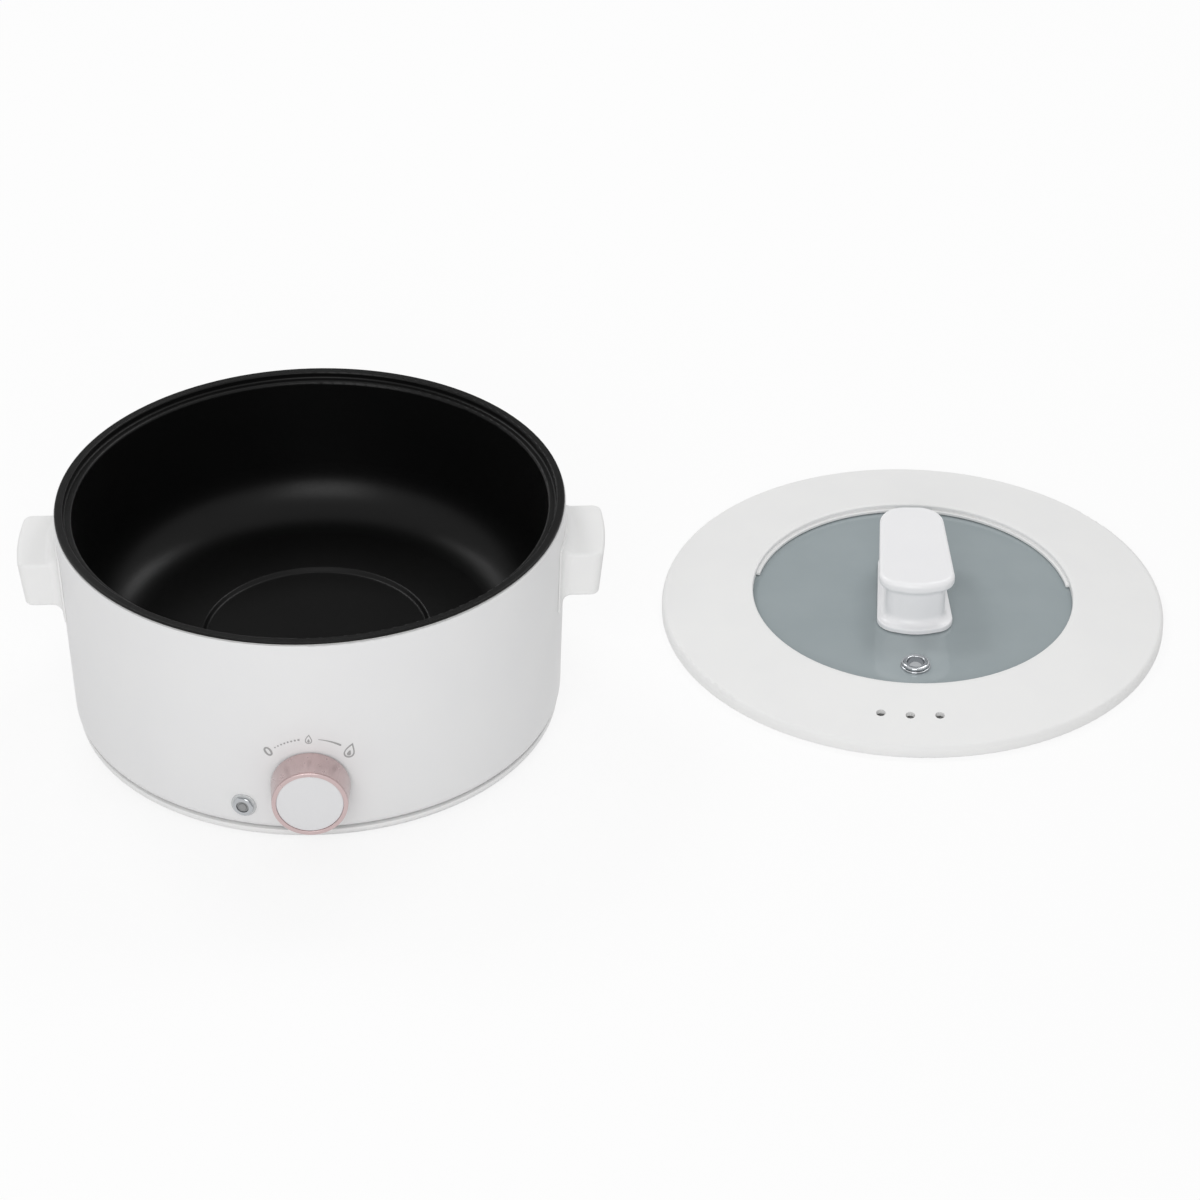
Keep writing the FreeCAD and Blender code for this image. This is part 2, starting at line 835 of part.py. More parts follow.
def indicator_collar():
    """The clear collar, its flange on the shell and its barrel through the wall."""
    seat = indicator_seat()
    flange_front = seat + indicator_flange_thickness
    collar = turned([
        (bezel_bore_radius, seat - indicator_barrel_depth, 0.0),
        (indicator_barrel_radius, seat - indicator_barrel_depth, 0.5),
        (indicator_barrel_radius, seat - 1.0, 0.0),
        (indicator_flange_radius, seat - 1.0, 0.0),
        (indicator_flange_radius, flange_front, 0.8),
        (bezel_bore_radius, flange_front, 0.0)])
    collar = outward(collar, indicator_angle, indicator_height)
    barrel = rod(indicator_barrel_radius, 0, seat)
    outside_only = shell_envelope(0.0).cut(outward(barrel, indicator_angle, indicator_height))
    return collar.cut(outside_only)


def indicator_bezel():
    """The chrome hexagon ring on the collar."""
    seat = indicator_seat() + indicator_flange_thickness
    bezel = hexagon(2 * bezel_radius, seat, seat + bezel_height)
    bezel = bezel.common(turned([
        (0.0, seat, 0.0),
        (bezel_radius + 0.5, seat, 0.0),
        (bezel_radius + 0.5, seat + bezel_height, 0.8),
        (0.0, seat + bezel_height, 0.0)]))
    bezel = bezel.cut(rod(bezel_bore_radius, seat - 1, seat + 2 * bezel_height))
    return outward(bezel, indicator_angle, indicator_height)


def indicator_lens():
    """The lens in the bezel's bore, with a small round tip."""
    seat = indicator_seat()
    shoulder = seat + indicator_flange_thickness + bezel_height / 2
    radius = bezel_bore_radius - running_fit
    lens = turned([
        (0.0, seat - 2.0, 0.0),
        (radius, seat - 2.0, 0.0),
        (radius, shoulder, 0.3),
        (lens_tip_radius, shoulder, 0.0),
        (lens_tip_radius, shoulder + lens_tip_height, 0.5),
        (0.0, shoulder + lens_tip_height, 0.0)])
    return outward(lens, indicator_angle, indicator_height)


def indicator_lamp():
    """The small lamp behind the lens."""
    top = indicator_seat() - 2.0 - seat_gap
    lamp = turned([
        (0.0, top - lamp_length, 0.0),
        (lamp_radius, top - lamp_length, 0.0),
        (lamp_radius, top, 1.5),
        (0.0, top, 0.0)])
    return outward(lamp, indicator_angle, indicator_height)


def side_handle(side):
    """One moulded side handle with its flared root, shaped to the shell."""
    middle = (shell_top_radius + shell_foot_radius) / 2
    inner = middle - 4 * shell_wall
    outer = turned([
        (inner, handle_bottom, 0.0),
        (handle_reach - handle_draft, handle_bottom, 0.0),
        (handle_reach, handle_top, 0.0),
        (inner, handle_top, 0.0)])
    sides = block(0, 2 * handle_reach, -handle_half_width, handle_half_width, 0, pan_top_height)
    lump = outer.common(sides)
    corners = []
    rims = []
    for edge in lump.Edges:
        far = edge.BoundBox.Center.x > middle + handle_flare
        if not far:
            continue
        if edge.BoundBox.ZLength > handle_thickness - 1 and edge.BoundBox.YLength < 1:
            corners.append(edge)
    lump = lump.makeFillet(handle_corner, corners)
    for edge in lump.Edges:
        level = edge.BoundBox.ZLength < 0.01
        if level and edge.BoundBox.XMax > middle + handle_flare:
            rims.append(edge)
    lump = lump.makeFillet(handle_edge, rims)
    spread = handle_flare + 0.6
    skin = shell_envelope(-handle_flange).common(block(
        0, 2 * handle_reach, -handle_half_width - spread, handle_half_width + spread,
        handle_bottom - spread, handle_top + spread))
    whole = lump.fuse(skin).removeSplitter()
    roots = [e for e in whole.Edges if root_edge(e, middle)]
    whole = whole.makeFillet(handle_flare, roots)
    whole = whole.cut(shell_envelope(0.0))
    height = (handle_top + handle_bottom) / 2
    for across in (-1, 1):
        pilot = outward(rod(handle_screw_radius + running_fit, inner,
                            middle + handle_screw_length), 90, height)
        pilot.translate(Vec(0, across * handle_screw_spacing / 2, 0))
        whole = whole.cut(pilot)
    if side < 0:
        whole.rotate(Vec(0, 0, 0), Vec(0, 0, 1), 180)
    return whole


def root_edge(edge, middle):
    """Tell whether an edge is where the handle's lump meets the skin on the shell."""
    box = edge.BoundBox
    on_skin = middle - 8 < box.XMin and box.XMax < middle + 6
    inside_y = abs(box.YMin) < handle_half_width + 0.1 and abs(box.YMax) < handle_half_width + 0.1
    inside_z = box.ZMin > handle_bottom - 0.1 and box.ZMax < handle_top + 0.1
    return on_skin and inside_y and inside_z


def handle_screws():
    """The screws that hold both side handles from inside the shell."""
    height = (handle_top + handle_bottom) / 2
    inside = shell_radius_at(height) - shell_wall
    across = handle_screw_spacing / 2 + handle_head_radius
    seat = math.sqrt(inside ** 2 - across ** 2) - seat_gap
    tip = (shell_top_radius + shell_foot_radius) / 2 + handle_screw_length - 2
    screws = []
    for side in (-1, 1):
        shanks = handle_screw_rods(side, handle_screw_radius, seat - 0.1, tip)
        heads = handle_screw_rods(side, handle_head_radius, seat - handle_head_height, seat)
        for shank, head in zip(shanks, heads):
            screws.append(shank.fuse(head).removeSplitter())
    return Part.makeCompound(screws)


def inlet_housing():
    """The moulded power socket, its flange inside the shell."""
    front = shell_radius_at(inlet_height) + inlet_proud
    half_w = inlet_width / 2
    half_t = inlet_tall / 2
    back = front - inlet_depth - inlet_back
    low = inlet_height - half_t
    high = inlet_height + half_t
    body = block(-half_w, half_w, back, front, low, high)
    body = body.makeFillet(2.0, [e for e in body.Edges if abs(e.tangentAt(0).y) > 0.9])
    flange_front = front - inlet_flange_inset
    flange_half = inlet_flange_width / 2
    flange = block(-flange_half, flange_half, flange_front - inlet_flange_thickness, flange_front,
                   low, high)
    body = body.fuse(flange)
    inside = shell_envelope(shell_wall + seat_gap)
    for side in (-1, 1):
        boss = outward(rod(inlet_boss_radius, flange_front - 1, front), 180, inlet_height)
        boss.translate(Vec(side * inlet_screw_spacing / 2, 0, 0))
        body = body.fuse(boss.common(inside))
    body = body.removeSplitter()
    cavity = block(-half_w + inlet_wall, half_w - inlet_wall, front - inlet_depth, front + 1,
                   low + inlet_wall, high - inlet_wall)
    body = body.cut(cavity)
    for side in (-1, 1):
        pilot = outward(rod(inlet_screw_radius + running_fit, back, front + 5), 180, inlet_height)
        pilot.translate(Vec(side * inlet_screw_spacing / 2, 0, 0))
        body = body.cut(pilot)
    return cut_all(body, pin_blades())


def pin_blades():
    """The three blades of the socket, live and neutral level and earth below."""
    front = shell_radius_at(inlet_height) + inlet_proud
    tip = front - pin_recess
    back = front - inlet_depth - inlet_back
    places = [(-pin_spacing, pin_drop), (pin_spacing, pin_drop), (0.0, -pin_drop)]
    blades = []
    for x, rise in places:
        height = inlet_height + rise
        blade = block(x - pin_thickness / 2, x + pin_thickness / 2, back - pin_tail, tip,
                      height - pin_width / 2, height + pin_width / 2)
        blades.append(blade)
    return blades


def inlet_screws():
    """The two screws that hold the socket's flange to the back of the shell."""
    front = shell_radius_at(inlet_height)
    across = inlet_screw_spacing / 2
    seat = math.sqrt(front ** 2 - (across - inlet_head_radius) ** 2) + seat_gap
    tip = front + inlet_proud - inlet_flange_inset - inlet_flange_thickness
    screws = []
    for side in (-1, 1):
        screw = turned([
            (0.0, tip, 0.0),
            (inlet_screw_radius, tip, 0.0),
            (inlet_screw_radius, seat, 0.0),
            (inlet_head_radius, seat, 0.0),
            (inlet_head_radius, seat + inlet_head_height, 0.9),
            (0.0, seat + inlet_head_height, 0.0)])
        screw = outward(screw, 180, inlet_height)
        screw.translate(Vec(side * across, 0, 0))
        screws.append(screw)
    return Part.makeCompound(screws)


def leads(leg_ends):
    """The insulated wires between the socket, the thermostat and the element."""
    tail = shell_radius_at(inlet_height) + inlet_proud - inlet_depth - inlet_back - pin_tail
    blade = -thermostat_back() + terminal_length
    blade_height = thermostat_bottom + 4 + terminal_thickness / 2
    post_side = terminal_spacing / 2
    pin_high = inlet_height + pin_drop
    left, right = sorted(leg_ends, key=lambda end: end.x)
    stud_end = left.z - bead_height
    live = tube_along([
        (-pin_spacing, tail, pin_high - 5),
        (-pin_spacing, tail - 8, pin_high - 5),
        (-pin_spacing - 12, tail - 26, lead_low),
        (-50, 30, lead_low),
        (-50, -30, lead_low),
        (-post_side - 14, blade + 30, lead_low),
        (-post_side, blade + 10, blade_height),
        (-post_side, blade, blade_height)], lead_radius)
    load = tube_along([
        (post_side, blade, blade_height),
        (post_side, blade + 10, blade_height),
        (post_side + 10, blade + 30, lead_middle),
        (44, -20, lead_middle),
        (20, 40, lead_low),
        (left.x, left.y - 12, lead_low),
        (left.x, left.y, lead_low),
        (left.x, left.y, stud_end)], lead_radius)
    neutral = tube_along([
        (pin_spacing, tail, pin_high - 5),
        (pin_spacing, tail - 8, pin_high - 5),
        (right.x - 6, right.y + 8, lead_low),
        (right.x, right.y, lead_low + 1),
        (right.x, right.y, stud_end)], lead_radius)
    return {"live_lead": live, "load_lead": load, "neutral_lead": neutral}


def earth_lead():
    """The earth wire from the socket to its tag under the heat shield."""
    tail = shell_radius_at(inlet_height) + inlet_proud - inlet_depth - inlet_back - pin_tail
    low = inlet_height - pin_drop
    return tube_along([
        (0, tail, low),
        (0, tail - 12, low),
        (0, tail - 24, lead_high - 3),
        (0, tail - 40, lead_high - 3),
        (0, tail - 50, shield_bottom - 4),
        (0, tail - 50 - earth_tag, shield_bottom - lead_radius)], lead_radius)


def lid_ring():
    """The wide white ring of the lid, with its lip, notch, steam holes and bosses."""
    slope = (lid_crown_height - lid_edge_height) / (lid_edge_slope_radius - lid_crown_radius)

    def under(radius):
        return lid_crown_height - (radius - lid_crown_radius) * slope - lid_wall

    skirt_inner = lid_radius - lid_wall
    locator_inner = lid_locator_radius - lid_locator_wall
    flat_end = lid_crown_radius + (lid_crown_height - lid_wall - ring_ledge) / slope
    ring = turned([
        (lid_radius, 0.0, 0.5),
        (lid_radius, lid_edge_height, lid_edge_round),
        (lid_crown_radius, lid_crown_height, 2.0),
        (lid_opening_radius, lid_crown_height, 1.0),
        (lid_opening_radius, ring_ledge, 0.0),
        (flat_end, ring_ledge, 0.0),
        (locator_inner, under(locator_inner), 0.0),
        (locator_inner, lid_locator_clear, 0.4),
        (lid_locator_radius, lid_locator_clear, 0.4),
        (lid_locator_radius, under(lid_locator_radius), 0.0),
        (skirt_inner, under(skirt_inner), 0.5),
        (skirt_inner, 0.0, 0.3)])
    ring = ring.fuse(lid_inner_lip())
    boss = rod(lid_boss_radius, lid_glass_bottom, ring_ledge + lid_wall / 2, lid_screw_circle)
    ring = fuse_all(ring, around(boss, lid_screw_count, 180.0 / lid_screw_count))
    pilot = rod(lid_screw_radius + running_fit, 0, ring_ledge + lid_wall / 2, lid_screw_circle)
    ring = cut_all(ring, around(pilot, lid_screw_count, 180.0 / lid_screw_count))
    for index in range(steam_hole_count):
        offset = (index - (steam_hole_count - 1) / 2) * steam_hole_step
        hole = rod(steam_hole_radius, 0, lid_crown_height + 5, steam_hole_circle)
        hole.rotate(Vec(0, 0, 0), Vec(0, 0, 1), -90 + offset)
        ring = ring.cut(hole)
    return on_lid(ring)


def lid_inner_lip():
    """The shallow lip round the back of the opening, broken by the notch."""
    inner = lid_opening_radius - lip_reach
    lip = turned([
        (inner, ring_ledge, 0.0),
        (lid_opening_radius + 1, ring_ledge, 0.0),
        (lid_opening_radius + 1, ring_ledge + lip_height, 0.0),
        (inner, ring_ledge + lip_height, 0.5)])
    reach = 2 * lid_radius
    spread = math.radians(lip_half_angle)
    wedge = prism([
        (0.0, 0.0, 0.0),
        (reach * math.sin(spread), reach * math.cos(spread), 0.0),
        (reach, reach, 0.0),
        (-reach, reach, 0.0),
        (-reach * math.sin(spread), reach * math.cos(spread), 0.0)], 0, lid_crown_height)
    notch = block(-notch_width / 2, notch_width / 2, 0, reach, 0, lid_crown_height)
    return lip.common(wedge).cut(notch)


def lid_glass():
    """The toughened glass with its holes for the eyelet and the handle screws."""
    glass = turned([
        (0.0, lid_glass_bottom, 0.0),
        (lid_glass_radius, lid_glass_bottom, 0.8),
        (lid_glass_radius, glass_top, 0.8),
        (0.0, glass_top, 0.0)])
    glass = glass.cut(rod(eyelet_barrel_radius + slip_fit, 0, 50, eyelet_x, eyelet_y))
    holes = grip_screw_places(rod(grip_screw_radius + slip_fit, 0, 50))
    turned_holes = []
    for hole in holes:
        hole.rotate(Vec(0, 0, 0), Vec(0, 0, 1), grip_turn)
        turned_holes.append(hole)
    return on_lid(cut_all(glass, turned_holes))


def grip_screw_places(shape):
    """Copy a shape made on the Z axis to the lid handle's screws."""
    copies = []
    for side in (-1, 1):
        copy = shape.copy()
        copy.translate(Vec(0, side * grip_screw_spacing / 2, 0))
        copies.append(copy)
    return copies


def lid_gasket():
    """The silicone ring over the edge of the glass."""
    inner = lid_glass_radius - gasket_grip
    outer = lid_glass_radius + gasket_side
    return on_lid(turned([
        (inner, glass_top, 0.0),
        (lid_glass_radius, glass_top, 0.0),
        (lid_glass_radius, lid_glass_bottom, 0.0),
        (outer, lid_glass_bottom, 0.0),
        (outer, ring_ledge, 0.0),
        (inner, ring_ledge, 0.0)]))


def lid_retainer():
    """The clamping ring under the glass, wide enough to close the space under the steam holes.

    Its slots lie at the lid's sides and back, so the steam gets out but no hole is in line.
    """
    bottom = lid_glass_bottom - retainer_thickness
    ring = turned([
        (retainer_inner_radius, bottom, 0.8),
        (retainer_outer_radius, bottom, 0.8),
        (retainer_outer_radius, lid_glass_bottom, 0.0),
        (retainer_inner_radius, lid_glass_bottom, 0.4)])
    hole = rod(lid_screw_radius + slip_fit, 0, 20, lid_screw_circle)
    well = rod(lid_screw_head_radius + slip_fit, 0, bottom + lid_screw_head_height,
               lid_screw_circle)
    first = 180.0 / lid_screw_count
    ring = cut_all(ring, around(hole, lid_screw_count, first))
    ring = cut_all(ring, around(well, lid_screw_count, first))
    half_length = retainer_slot_length / 2
    half_width = retainer_slot_width / 2
    slot = block(steam_hole_circle - half_width, steam_hole_circle + half_width,
                 -half_length, half_length, 0, lid_glass_bottom + 1)
    front_turn = -90.0
    for index, tool in enumerate(around(slot, retainer_slot_count, front_turn)):
        if index > 0:
            ring = ring.cut(tool)
    return on_lid(ring)


def lid_retainer_screws():
    """The small screws up through the clamping ring."""
    bottom = lid_glass_bottom - retainer_thickness
    seat = bottom + lid_screw_head_height
    screw = turned([
        (0.0, bottom, 0.0),
        (lid_screw_head_radius, bottom, 0.6),
        (lid_screw_head_radius, seat, 0.0),
        (lid_screw_radius, seat, 0.0),
        (lid_screw_radius, ring_ledge, 0.0),
        (0.0, ring_ledge, 0.0)])
    screw.translate(Vec(lid_screw_circle, 0, 0))
    copies = around(screw, lid_screw_count, 180.0 / lid_screw_count)
    return on_lid(Part.makeCompound(copies))


def vent_eyelet():
    """The chromed eyelet that lets steam through the glass."""
    barrel_end = lid_glass_bottom - eyelet_nut_thickness
    groove = eyelet_height * 0.35
    eyelet = turned([
        (eyelet_bore_radius, barrel_end, 0.3),
        (eyelet_barrel_radius, barrel_end, 0.3),
        (eyelet_barrel_radius, glass_top, 0.0),
        (eyelet_radius, glass_top, 0.0),
        (eyelet_radius, glass_top + groove, 0.5),
        (eyelet_radius - 0.7, glass_top + groove, 0.2),
        (eyelet_radius - 0.7, glass_top + eyelet_height, 1.2),
        (eyelet_bore_radius, glass_top + eyelet_height, 0.7)])
    eyelet.translate(Vec(eyelet_x, eyelet_y, 0))
    return on_lid(eyelet)


def vent_nut():
    """The ring nut under the glass that holds the eyelet."""
    bottom = lid_glass_bottom - eyelet_nut_thickness
    nut = rod(eyelet_radius, bottom, lid_glass_bottom)
    nut = nut.cut(rod(eyelet_barrel_radius + running_fit, 0, 50))
    nut.translate(Vec(eyelet_x, eyelet_y, 0))
    return on_lid(nut)


def grip_outline(inset):
    """Return the handle's tapered outline, drawn in by inset on every side."""
    corner = grip_front_corner - inset
    back_corner = grip_back_corner - inset
    return [
        (-grip_front_half + inset, grip_shoulder + inset, corner),
        (0.0, grip_front + inset, grip_nose_round - inset),
        (grip_front_half - inset, grip_shoulder + inset, corner),
        (grip_back_half - inset, grip_back - inset, back_corner),
        (-grip_back_half + inset, grip_back - inset, back_corner)]


def lid_handle():
    """The white handle: a foot, a drawn-in waist and a tapered top slab."""
    foot_bottom = glass_top + pad_thickness
    foot_top = foot_bottom + grip_foot
    slab_bottom = grip_top - grip_slab
    foot = prism(grip_outline(0.0), foot_bottom, foot_top)
    waist = prism(grip_outline(grip_waist_inset), foot_bottom, grip_top)
    slab = prism(grip_outline(0.0), slab_bottom, grip_top)
    handle = foot.fuse(waist).fuse(slab).removeSplitter()
    inner = [e for e in handle.Edges if waist_edge(e, foot_top) or waist_edge(e, slab_bottom)]
    handle = handle.makeFillet(grip_waist_round, inner)
    rims = [e for e in handle.Edges
            if rim_edge(e, grip_top) or rim_edge(e, slab_bottom)]
    handle = handle.makeFillet(grip_slab_round, rims)
    foot_rims = [e for e in handle.Edges if rim_edge(e, foot_top)]
    handle = handle.makeFillet(grip_foot_round, foot_rims)
    pocket = rod(grip_insert_radius + running_fit, 0, foot_bottom + grip_screw_grip + 1)
    return on_grip(cut_all(handle, grip_screw_places(pocket)))


def level_at(edge, height):
    """Tell whether an edge lies level at a height."""
    box = edge.BoundBox
    return abs(box.ZMin - height) < 0.01 and abs(box.ZMax - height) < 0.01


def near_outline(edge, inset):
    """Tell whether an edge's middle is on the outline drawn in by inset."""
    wire = rounded_wire(grip_outline(inset), lambda u, v: Vec(u, v, edge.BoundBox.ZMin))
    middle = edge.valueAt((edge.FirstParameter + edge.LastParameter) / 2)
    return Part.Vertex(middle).distToShape(wire)[0] < 0.05


def waist_edge(edge, height):
    """Tell whether an edge is where the waist meets the foot or the slab."""
    return level_at(edge, height) and near_outline(edge, grip_waist_inset)


def rim_edge(edge, height):
    """Tell whether an edge is on the outer outline at a height."""
    return level_at(edge, height) and near_outline(edge, 0.0)


def lid_handle_pad():
    """The silicone pad between the handle's foot and the glass."""
    pad = prism(grip_outline(pad_inset), glass_top, glass_top + pad_thickness)
    hole = rod(grip_screw_radius + slip_fit, 0, 50)
    return on_grip(cut_all(pad, grip_screw_places(hole)))


def lid_handle_inserts():
    """The threaded brass inserts moulded into the handle's foot."""
    bottom = glass_top + pad_thickness
    insert = rod(grip_insert_radius, bottom, bottom + grip_screw_grip)
    insert = insert.cut(rod(grip_screw_radius + running_fit, 0, 50))
    return on_grip(Part.makeCompound(grip_screw_places(insert)))


def lid_handle_washers():
    """The washers between the screw heads and the glass."""
    bottom = lid_glass_bottom - grip_washer_thickness
    washer = rod(grip_washer_radius, bottom, lid_glass_bottom)
    washer = washer.cut(rod(grip_screw_radius + slip_fit, 0, 50))
    return on_grip(Part.makeCompound(grip_screw_places(washer)))


def lid_handle_screws():
    """The two screws that hold the handle from under the glass."""
    seat = lid_glass_bottom - grip_washer_thickness
    bottom = seat - grip_head_height
    tip = glass_top + pad_thickness + grip_screw_grip - 1
    screw = turned([
        (0.0, bottom, 0.0),
        (grip_head_radius, bottom, 1.0),
        (grip_head_radius, seat, 0.0),
        (grip_screw_radius, seat, 0.0),
        (grip_screw_radius, tip, 0.0),
        (0.0, tip, 0.0)])
    return on_grip(Part.makeCompound(grip_screw_places(screw)))


def fuse_strap():
    """The strap of the thermal fuse."""
    clip = strap(fuse_radius, 0.0)
    clip.translate(Vec(strap_place, 0, 0))
    return clip


def build():
    """Build every piece and return them by name."""
    tube, leg_ends = heater_tube()
    pieces = {
        "outer_shell": outer_shell(),
        "cooking_pan": cooking_pan(),
        "pan_seal": pan_seal(),
        "base_cover": base_cover(),
        "base_screws": base_screws(),
        "heater_tube": tube,
        "heating_plate": heating_plate(tube),
        "heater_beads": heater_beads(leg_ends),
        "heat_shield": heat_shield(leg_ends),
        "sensor_bulb": sensor_bulb(),
        "sensor_strap": strap(bulb_radius, 0.0),
        "capillary_tube": capillary_tube(),
        "thermal_fuse": thermal_fuse(),
        "fuse_strap": fuse_strap(),
        "thermostat_body": thermostat_body(),
        "bushing_nut": bushing_nut(),
        "terminal_blades": terminal_blades(),
        "thermostat_spindle": thermostat_spindle(),
        "knob_ring": knob_ring(),
        "knob_hub": knob_hub(),
        "knob_cap": knob_cap(),
        "hub_clip": hub_clip(),
        "indicator_collar": indicator_collar(),
        "indicator_bezel": indicator_bezel(),
        "indicator_lens": indicator_lens(),
        "indicator_lamp": indicator_lamp(),
        "left_handle": side_handle(-1),
        "right_handle": side_handle(1),
        "handle_screws": handle_screws(),
        "inlet_housing": inlet_housing(),
        "inlet_pins": Part.makeCompound(pin_blades()),
        "inlet_screws": inlet_screws(),
        "earth_lead": earth_lead(),
        "lid_ring": lid_ring(),
        "lid_glass": lid_glass(),
        "lid_gasket": lid_gasket(),
        "lid_retainer": lid_retainer(),
        "lid_retainer_screws": lid_retainer_screws(),
        "vent_eyelet": vent_eyelet(),
        "vent_nut": vent_nut(),
        "lid_handle": lid_handle(),
        "lid_handle_pad": lid_handle_pad(),
        "lid_handle_inserts": lid_handle_inserts(),
        "lid_handle_washers": lid_handle_washers(),
        "lid_handle_screws": lid_handle_screws(),
    }
    for index, foot in enumerate(at_feet(rubber_foot())):
        pieces["rubber_foot_%d" % (index + 1)] = foot
    pieces.update(leads(leg_ends))
    return pieces


os.makedirs("parts", exist_ok=True)
for node, shape in build().items():
    solids = shape.Solids
    if not solids or not shape.isValid():
        raise ValueError("%s is not a sound solid" % node)
    shape.exportStep("parts/%s.step" % node)
    print("%-22s solids %2d  volume %10.1f" % (node, len(solids), shape.Volume))
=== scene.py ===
"""The looks of a round electric hot pot and its loose glass lid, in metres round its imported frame."""

import json
import logging
import math
from dataclasses import dataclass
from enum import Enum
from typing import Any, Callable, Sequence

import bpy
from mathutils import Matrix, Vector

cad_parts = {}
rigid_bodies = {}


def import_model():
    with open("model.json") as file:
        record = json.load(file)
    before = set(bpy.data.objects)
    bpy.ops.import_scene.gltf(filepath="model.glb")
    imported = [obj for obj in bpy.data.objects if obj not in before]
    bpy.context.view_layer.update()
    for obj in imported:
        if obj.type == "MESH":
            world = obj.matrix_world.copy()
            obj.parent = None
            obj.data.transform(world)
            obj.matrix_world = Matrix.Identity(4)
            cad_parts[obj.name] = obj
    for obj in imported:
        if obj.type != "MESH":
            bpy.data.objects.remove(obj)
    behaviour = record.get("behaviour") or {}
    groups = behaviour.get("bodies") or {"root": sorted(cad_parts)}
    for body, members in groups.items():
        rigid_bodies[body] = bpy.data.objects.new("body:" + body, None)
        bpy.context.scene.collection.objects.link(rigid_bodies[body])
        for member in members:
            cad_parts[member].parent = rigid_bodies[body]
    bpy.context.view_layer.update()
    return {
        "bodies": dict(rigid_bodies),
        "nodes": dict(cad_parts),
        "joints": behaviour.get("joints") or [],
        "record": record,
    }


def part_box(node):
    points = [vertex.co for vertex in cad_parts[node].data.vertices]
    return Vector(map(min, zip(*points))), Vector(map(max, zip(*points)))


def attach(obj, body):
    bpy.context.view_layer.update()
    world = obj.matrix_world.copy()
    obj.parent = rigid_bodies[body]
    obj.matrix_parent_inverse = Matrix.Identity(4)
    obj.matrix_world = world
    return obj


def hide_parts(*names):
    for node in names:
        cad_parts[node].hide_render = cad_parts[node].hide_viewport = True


LOG = logging.getLogger("hot_pot")
MM = 0.001
# Steps round a turned piece and in each rounded corner, and the gap in metres that merges points.
RING_STEPS = 192
ARC_STEPS = 6
MERGE_GAP = 2e-6
SMOOTH_ANGLE = math.radians(32)
# The colour sockets of a Mix node, whose names its other kinds share: two inputs and the result.
MIX_FIRST = 6
MIX_SECOND = 7
MIX_RESULT = 2

Corner = tuple[float, float, float]
Place = tuple[float, float, float]
Point = tuple[float, float]
Links = dict[Any, bpy.types.NodeSocket]


class Grain(Enum):
    """The kind of fine relief that a surface has."""

    SOFT = "ShaderNodeTexNoise"
    CELLS = "ShaderNodeTexVoronoi"


def linear(hex_colour: str) -> tuple[float, float, float, float]:
    """Turn an sRGB hex colour to linear.

    Args:
        hex_colour: Six hex digits.

    Returns:
        Red, green, blue and an alpha of one.
    """
    shares = [int(hex_colour[i:i + 2], 16) / 255 for i in (0, 2, 4)]
    out = [s / 12.92 if s <= 0.04045 else ((s + 0.055) / 1.055) ** 2.4 for s in shares]
    return out[0], out[1], out[2], 1.0


def add_node(tree: bpy.types.NodeTree, kind: str, options: dict[str, Any] | None = None,
             values: dict[Any, Any] | None = None, links: Links | None = None) -> bpy.types.Node:
    """Add a shader node with its settings and links.

    Args:
        tree: The node tree.
        kind: The node's type.
        options: Settings of the node itself.
        values: Values of its inputs, by name or place.
        links: Sockets that feed its inputs, by name or place.

    Returns:
        The new node.
    """
    node = tree.nodes.new(kind)
    for name, value in (options or {}).items():
        setattr(node, name, value)
    for name, value in (values or {}).items():
        node.inputs[name].default_value = value
    for name, socket in (links or {}).items():
        tree.links.new(socket, node.inputs[name])
    return node


def bare_tree(owner: bpy.types.Material | bpy.types.World) -> bpy.types.NodeTree:
    """Switch a material or a world to nodes and empty its tree.

    Args:
        owner: The material or world.

    Returns:
        Its empty node tree.
    """
    owner.use_nodes = True
    owner.node_tree.nodes.clear()
    return owner.node_tree


